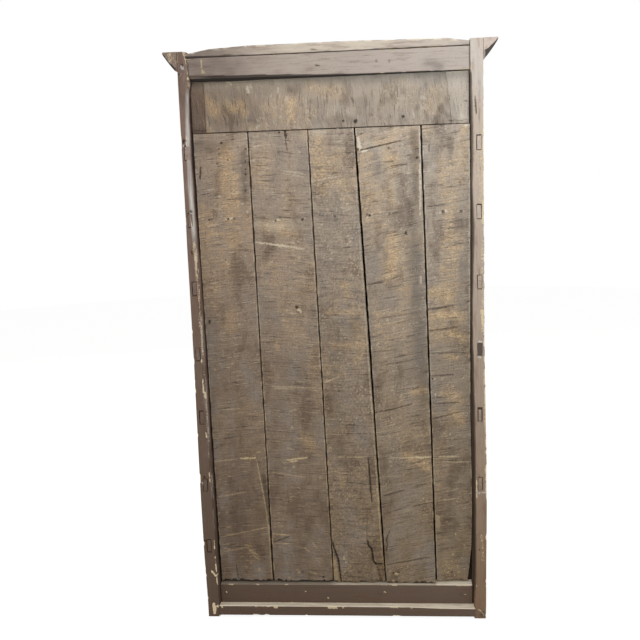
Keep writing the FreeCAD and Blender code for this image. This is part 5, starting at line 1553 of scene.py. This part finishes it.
@dataclass
class Crown:
    """The roof boards and the mitred cornice."""

    finishes: Finishes
    foot: float = 7.0
    overhang: float = 45.0
    low: float = 1862.0
    lip: float = 6.0
    radius: float = 420.0
    roof_half: float = 478.0
    rear_front: float = 124.5
    rear_x: Span = (-439.0, 456.0)
    rear_end: float = 240.5
    ear_rear: float = 161.5
    ear_top: float = 1915.0
    middle_y: Span = (-45.5, 122.5)
    front_y: Span = (-136.5, -47.5)
    nosing_y: Span = (-195.5, -136.0)
    nosing_half: float = 423.0

    def build(self) -> None:
        """Build the roof boards and the three lengths of cornice."""
        rear = Shell("roof_board_rear", "hewn").add(self.crowned())
        for sign in (-1, 1):
            low_x, high_x = on_side((POST_IN, self.roof_half), sign)
            rear.add(Beam((low_x, self.rear_front, RAIL_TOP), (high_x, self.ear_rear, self.ear_top),
                          Grain.LEVEL, 141 + sign).skin())
        rear.piece(self.finishes.rail, slot="inside_board")
        middle = self.flat_board(self.roof_half, self.middle_y, 143)
        front = self.flat_board(self.roof_half, self.front_y, 144)
        nosing = self.flat_board(self.nosing_half, self.nosing_y, 145)
        for name, skins in (("roof_board_middle", (middle,)), ("roof_board_front", (front, nosing))):
            shell = Shell(name, "planed")
            for skin in skins:
                shell.add(skin)
            shell.piece(self.finishes.roof, slot="inside_board")
        for side, sign in SIDES:
            Shell(f"cornice_{side}", "painted").add(self.return_length(sign)).piece(self.finishes.side)
        Shell("cornice_front", "painted").add(self.front_length()).piece(self.finishes.paint[Grain.LEVEL])

    @staticmethod
    def flat_board(half: float, y: Span, seed: int) -> Skin:
        """Make a flat roof board of some half length between two depths."""
        return Beam((-half, y[0], RAIL_TOP), (half, y[1], HEIGHT), Grain.LEVEL, seed, hew=1.2).skin()

    def crowned(self) -> Skin:
        """Carry the rear roof board along; its upper face follows a waney crown."""
        made = Beam((self.rear_x[0], self.rear_front, RAIL_TOP), (self.rear_x[1], self.rear_end, ROOF_CROWN),
                    Grain.LEVEL, 140, spacing=(8.0, 2.6, 12.0, 9.0), pace=6.0, hew=0.5, loss=0.8).skin()
        x, z = made.points[..., 0], made.points[..., 2]
        top = np.interp(x, [-439, -368.8, -22, 254.6, 377.5, 439, 456],
                        [1915, 1925, 1930.6, 1930.6, 1925, 1915, 1913])
        top = top - 1.6 * cloud(x / 40, x * 0, 147, 3)
        made.points[..., 2] = RAIL_TOP + (z - RAIL_TOP) * (top - RAIL_TOP) / (ROOF_CROWN - RAIL_TOP)
        rear = made.on(Face.SECOND_HIGH)
        arris = np.exp(-((made.height - top) / 6) ** 2) * ease(0.42, 0.62, cloud(x / 26, z / 9, 148, 3))
        arris = arris * ease(231, 238, made.points[..., 1])
        seam = np.interp(x, [-440, 260, 440], [4.8, 4.4, 8.5])
        lift = z - RAIL_TOP + 2.2 * (cloud(x / 30, x * 0, 149, 3) - 0.5)
        dust = np.interp(x, [-440, -250, -100, 120, 260, 440], [0.0, 0.16, 0.42, 0.40, 0.12, 0.0])
        made.stain(pale=np.maximum(0.9 * arris, dust * rear), dark=rear * 0.9 * ease(seam, seam - 2.2, lift))
        made.strike(ROOF_MARKS, rear)
        return made

    def profile(self) -> Array:
        """Walk round the moulding's outline as (overhang, height): foot, round, lip, top and back."""
        start, end = np.array([self.foot, self.low]), np.array([self.overhang, HEIGHT - self.lip])
        run = end - start
        reach = float(np.hypot(*run))
        sag = self.radius - math.sqrt(self.radius ** 2 - reach ** 2 / 4)
        part = np.linspace(0, 1, 15)[:, None]
        bulge = 4 * sag * part * (1 - part) * np.array([run[1], -run[0]]) / reach
        curve = start + run * part + bulge
        top = np.stack([np.linspace(self.overhang - 1.5, 0, 5), np.full(5, HEIGHT)], 1)
        back = np.stack([np.zeros(5), np.linspace(HEIGHT - 8, self.low, 5)], 1)
        return np.concatenate([curve, [[self.overhang, HEIGHT - 1.5]], top, back])

    def carried(self, along: Array, places: Callable[[Array, Array], Array], seed: int) -> Skin:
        """Carry the moulding's outline along a path given by a rule.

        Args:
            along: shares of the way along.
            places: rule that turns shares and outline into points.
            seed: picks the wear.

        Returns:
            The length's skin.
        """
        points = places(along[:, None], self.profile()[None])
        blank = np.zeros(points.shape[:2])
        columns = np.arange(points.shape[1])
        rough = cloud(along[:, None] * 40, columns[None] / 3, seed, 3)
        ridge = np.isin(columns, [14, 15])[None] * ease(0.60, 0.74, rough)
        # Painted shade on the lower part of the round, the soffit that faces down
        soffit = ease(9, 2, columns)[None] * (columns < 15)[None]
        return Skin(points, np.zeros(points.shape), blank, columns * 0, ridge * 0.9,
                    blank + 0.12 * ease(0.55, 0.35, rough) + 0.35 * soffit, blank.copy())

    def return_length(self, sign: int) -> Skin:
        """Carry the moulding along a side, from square end grain at the rear to a mitre at the front."""
        def places(share: Array, outline: Array) -> Array:
            out, height = outline[..., 0], outline[..., 1]
            y = REAR + share * (FRONT - out - REAR)
            return np.stack(np.broadcast_arrays(sign * (HALF + out), y, height), -1).astype(float)
        along = np.concatenate([[0, 0, 0, 0, 0.004], np.linspace(0.02, 1, 70)])
        made = self.carried(along, places, 150 + sign)
        corner = np.array([sign * HALF, REAR, HEIGHT])
        border = np.array([0.95, 1.0, 0.82] if sign > 0 else [0.94, 1.0, 0.62])
        middle = made.points[0].mean(0)
        columns = np.arange(made.points.shape[1])
        rough = 1 + 0.10 * (cloud(columns / 1.5, columns * 0.0, 156 + sign, 2) - 0.5)
        for ring, share in ((2, np.minimum(border + 0.02, 1)), (1, border)):
            made.points[ring] = corner + (made.points[3] - corner) * np.minimum(share * rough[:, None], 1)
        made.points[0] = middle + (made.points[1] - middle) * 0.5
        end = np.zeros(made.wear.shape)
        end[:2] = 1.0
        spots = cloud(made.points[..., 2] / 9, made.points[..., 0] / 9, 157 + sign, 2)
        made.dark *= 1 - end
        made.dark[2:5, :14] = 0.9
        made.wear[2:4] = 0.0
        made.stain(wear=end * 0.5 * ease(0.45, 0.7, spots), pale=end * (0.6 if sign < 0 else 0.0))
        return made

    def front_length(self) -> Skin:
        """Carry the moulding along the front between two mitres."""
        def places(share: Array, outline: Array) -> Array:
            out, height = outline[..., 0], outline[..., 1]
            x = (2 * share - 1) * (HALF + out)
            return np.stack(np.broadcast_arrays(x, FRONT - out, height), -1).astype(float)
        return self.carried(np.linspace(0, 1, 160), places, 153)


@dataclass
class FrontFrame:
    """The front posts and the two rails between which the doors hang.

    Each rail is its name, where its rear face lies, its lower and upper edge and its seed.
    """

    finishes: Finishes
    posts: Span = (424.0, HALF)
    rails: tuple[tuple[str, float, float, float, int], ...] = (
        ("front_top_rail", -171.5, 1786.0, RAIL_TOP, 165),
        ("front_bottom_rail", -157.5, 30.0, FLOOR_LEVEL, 166))

    def build(self) -> None:
        """Build the posts and rails of the front."""
        paint = self.finishes.paint
        for side, sign in SIDES:
            low_x, high_x = on_side(self.posts, sign)
            post = Beam((low_x, FRONT, 0.0), (high_x, FRONT_POST_REAR, HEIGHT), Grain.UPRIGHT, 161 + sign,
                        pace=8.0, spacing=(6.0,) * 4)
            Shell(f"front_post_{side}", "painted").add(post.skin()).piece(paint[Grain.UPRIGHT])
        inner = self.posts[0]
        for name, rear, low, high, seed in self.rails:
            rail = Beam((-inner, FRONT, low), (inner, rear, high), Grain.LEVEL, seed, pace=8.0,
                        spacing=(6.0,) * 4)
            Shell(name, "painted").add(rail.skin()).piece(paint[Grain.LEVEL])


@dataclass
class Doors:
    """The two panelled doors."""

    finishes: Finishes
    thickness: float = 28.0
    stile: float = 74.0
    edges: Span = (1.5, 421.5)
    rails: tuple[Span, ...] = ((141.0, 241.0), (679.67, 751.67), (1190.33, 1262.33), (1701.0, 1783.0))
    panel_y: Span = (FRONT + 9.2, FRONT + 18.8)

    def build(self) -> None:
        """Build the stiles, rails and panels of both doors."""
        upright, level = self.finishes.paint[Grain.UPRIGHT], self.finishes.paint[Grain.LEVEL]
        meeting, hinge = self.edges
        sight = (meeting + self.stile, hinge - self.stile)
        full = (self.rails[0][0], self.rails[-1][1])
        for side, sign in SIDES:
            body = f"{side}_door"
            stiles = {"meeting_stile": (meeting, sight[0]), "hinge_stile": (sight[1], hinge)}
            for number, (name, x) in enumerate(stiles.items()):
                skin = self.beam(sign, x, full, Grain.UPRIGHT, 170 + number)
                Shell(f"{body}_{name}", "painted").add(skin).piece(upright, body, "door_timber")
            names = ("bottom_rail", "middle_rails", "middle_rails", "top_rail")
            shells = {name: Shell(f"{body}_{name}", "painted") for name in names}
            for number, (name, span) in enumerate(zip(names, self.rails)):
                shells[name].add(self.beam(sign, sight, span, Grain.LEVEL, 175 + number))
            for shell in shells.values():
                shell.piece(level, body, "door_timber")
            panels = Shell(f"{body}_panels", "painted")
            for number, (lower, upper) in enumerate(zip(self.rails[:-1], self.rails[1:])):
                panels.add(self.panel(sign, sight, (lower[1], upper[0]), 185 + number))
            panels.piece(upright, body, "door_timber")

    def beam(self, sign: int, x: Span, z: Span, grain: Grain, seed: int) -> Skin:
        """Make one timber of a door."""
        low_x, high_x = on_side(x, sign)
        made = Beam((low_x, FRONT, z[0]), (high_x, FRONT + self.thickness, z[1]), grain, seed + 20 * sign,
                    arris=1.8, spacing=(4.5,) * 4, pace=4.5, hew=0.4).skin()
        made.strike(DOOR_MARKS, made.on(Face.FIRST_LOW if grain is Grain.UPRIGHT else Face.SECOND_LOW))
        return made

    def panel(self, sign: int, sight_x: Span, sight_z: Span, seed: int) -> Skin:
        """Carry a door's panel up: its field rises towards the front over the bevel to a flat middle."""
        (left, right), (low, high) = on_side(sight_x, sign), sight_z
        made = Beam((left - PANEL_TONGUE, self.panel_y[0], low - PANEL_TONGUE),
                    (right + PANEL_TONGUE, self.panel_y[1], high + PANEL_TONGUE), Grain.UPRIGHT,
                    seed + 20 * sign, arris=1.0, spacing=(14.0, 14.0, 3.5, 14.0), pace=4.0, hew=0.2,
                    loss=0.0).skin()
        x, z = made.points[..., 0], made.points[..., 2]
        inset = np.minimum(np.minimum(x - left, right - x), np.minimum(z - low, high - z)) - PANEL_BORDER
        field_panel(made, made.on(Face.FIRST_LOW), inset, cloud(x / 20, z / 20, seed + 7, 2))
        made.strike(DOOR_MARKS, made.on(Face.FIRST_LOW))
        return made


@dataclass
class Inside:
    """The floor, shelves and battens inside, and the small pieces that keep their CAD shape."""

    finishes: Finishes
    boards: tuple[str, ...] = ("shelves", "floor_boards", "back_head_batten", "back_shelf_bearer",
                               "back_floor_bearer", "turn_button")
    pegs: tuple[str, ...] = ("left_door_pegs", "right_door_pegs")
    iron: tuple[str, ...] = (
        "hinge_pintles", "left_door_hinge_leaves", "right_door_hinge_leaves", "lock_case", "lock_bolt",
        "key", "key_plate", "lock_keeper", "turn_button_pivot")

    def build(self) -> None:
        """Give the inner boards, pegs and ironwork their finishes."""
        choices = {name: self.finishes.board for name in self.boards}
        choices.update({name: self.finishes.peg for name in self.pegs})
        choices.update({name: self.finishes.iron for name in self.iron})
        choices.update({"carcass_pegs": self.finishes.post, "back_nails": self.finishes.nail})
        for name, material in choices.items():
            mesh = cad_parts[name].data
            mesh.materials.clear()
            mesh.materials.append(material)
            LOG.info("%s keeps its shape", name)


@dataclass
class Studio:
    """Floor, lamps, white surroundings and the camera."""

    eye: Point = (-0.1836, 3.0390, 1.5005)
    right: Point = (-0.99632, -0.07881, -0.03377)
    up: Point = (-0.02072, -0.16087, 0.98676)
    back: Point = (-0.0832, 0.98382, 0.15864)
    lens: float = 48.62
    floor_radius: float = 9.0
    floor_sides: int = 64
    lamps: tuple[tuple[str, Point, Point, float, float], ...] = (
        ("key_lamp", (-0.5, 3.4, 3.1), (0.0, 0.25, 1.15), 2.4, 62.0),
        ("front_lamp", (0.8, -3.6, 2.8), (0.0, -0.2, 1.0), 2.4, 62.0),
        ("left_lamp", (-3.6, 0.2, 2.0), (0.0, 0.0, 1.0), 2.0, 22.0),
        ("right_lamp", (3.6, 0.2, 2.0), (0.0, 0.0, 1.0), 2.0, 22.0))

    def build(self) -> None:
        """Build the whole studio."""
        self.surroundings()
        self.floor()
        for row in self.lamps:
            self.lamp(*row)
        self.camera()

    def surroundings(self) -> None:
        """Light the scene softly from all round and show white behind the cupboard."""
        world = bpy.data.worlds.new("studio_surroundings")
        bpy.context.scene.world = world
        world.use_nodes = True
        tree = world.node_tree
        tree.nodes.clear()
        path = add_node(tree, "ShaderNodeLightPath").outputs
        seen = add_node(tree, "ShaderNodeMath", {0: path["Is Camera Ray"], 1: path["Is Glossy Ray"]},
                        operation="MAXIMUM")
        soft = add_node(tree, "ShaderNodeBackground", {"Color": linear("#ffffff"), "Strength": 0.42})
        white = add_node(tree, "ShaderNodeBackground", {"Color": linear("#ffffff"), "Strength": 1.0})
        both = add_node(tree, "ShaderNodeMixShader", {
            0: seen.outputs[0], 1: soft.outputs[0], 2: white.outputs[0]})
        add_node(tree, "ShaderNodeOutputWorld", {"Surface": both.outputs[0]})

    def floor(self) -> None:
        """Lay a round pale floor that shows nearly white and keeps a faint shadow."""
        turn = np.linspace(0, 2 * np.pi, self.floor_sides, endpoint=False)
        ring = np.stack([np.cos(turn), np.sin(turn), turn * 0], 1) * self.floor_radius
        mesh = bpy.data.meshes.new("studio_floor")
        mesh.from_pydata(ring.tolist(), [], [list(range(self.floor_sides))])
        material = bpy.data.materials.new("paper_white_matt")
        material.use_nodes = True
        tree = material.node_tree
        tree.nodes.clear()
        path = add_node(tree, "ShaderNodeLightPath").outputs
        share = add_node(tree, "ShaderNodeMath", {0: path["Is Camera Ray"], 1: 0.72}, operation="MULTIPLY")
        matt = add_node(tree, "ShaderNodeBsdfDiffuse", {"Color": linear("#f2f1ee")})
        glow = add_node(tree, "ShaderNodeEmission", {"Color": linear("#ffffff"), "Strength": 1.22})
        both = add_node(tree, "ShaderNodeMixShader", {
            0: share.outputs[0], 1: matt.outputs[0], 2: glow.outputs[0]})
        add_node(tree, "ShaderNodeOutputMaterial", {"Surface": both.outputs[0]})
        mesh.materials.append(material)
        made = bpy.data.objects.new("studio_floor", mesh)
        bpy.context.scene.collection.objects.link(made)

    def lamp(self, name: str, place: Point, aim: Point, size: float, power: float) -> None:
        """Hang one square soft lamp that looks at a point.

        Args:
            name: the lamp's name.
            place: where it hangs, in metres.
            aim: the point that it looks at.
            size: its side in metres.
            power: its power in watts.
        """
        data = bpy.data.lights.new(name, "AREA")
        data.size = size
        data.energy = power
        made = bpy.data.objects.new(name, data)
        made.matrix_world = self.facing(np.array(place), np.array(aim))
        bpy.context.scene.collection.objects.link(made)

    @staticmethod
    def facing(place: Array, aim: Array) -> Matrix:
        """Turn local -Z from a place towards an aim, with local Y upwards."""
        back = (place - aim) / np.linalg.norm(place - aim)
        right = np.cross((0, 0, 1), back)
        right /= np.linalg.norm(right)
        return Studio.turned(right, np.cross(back, right), back, place)

    @staticmethod
    def turned(right: Sequence[float], up: Sequence[float], back: Sequence[float],
               place: Sequence[float]) -> Matrix:
        """Build an object's matrix from its three directions and its place."""
        turn = np.eye(4)
        turn[:3, :3] = np.stack([right, up, back], 1)
        turn[:3, 3] = place
        return Matrix(turn.tolist())

    def camera(self) -> None:
        """Set the camera behind the cupboard, where the photograph was taken."""
        data = bpy.data.cameras.new("studio_camera")
        data.lens = self.lens
        data.sensor_width = 36.0
        made = bpy.data.objects.new("studio_camera", data)
        made.matrix_world = self.turned(self.right, self.up, self.back, self.eye)
        bpy.context.scene.collection.objects.link(made)
        bpy.context.scene.camera = made


def main() -> None:
    """Build every sub-assembly in order."""
    logging.basicConfig(level=logging.INFO, format="%(message)s")
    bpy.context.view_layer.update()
    bpy.context.scene.view_settings.view_transform = "Standard"
    finishes = Finishes()
    for part in (BackBoards, BackFrame, SideFrames, Crown, FrontFrame, Doors, Inside):
        part(finishes).build()
    Studio().build()


if __name__ == "__main__":
    main()
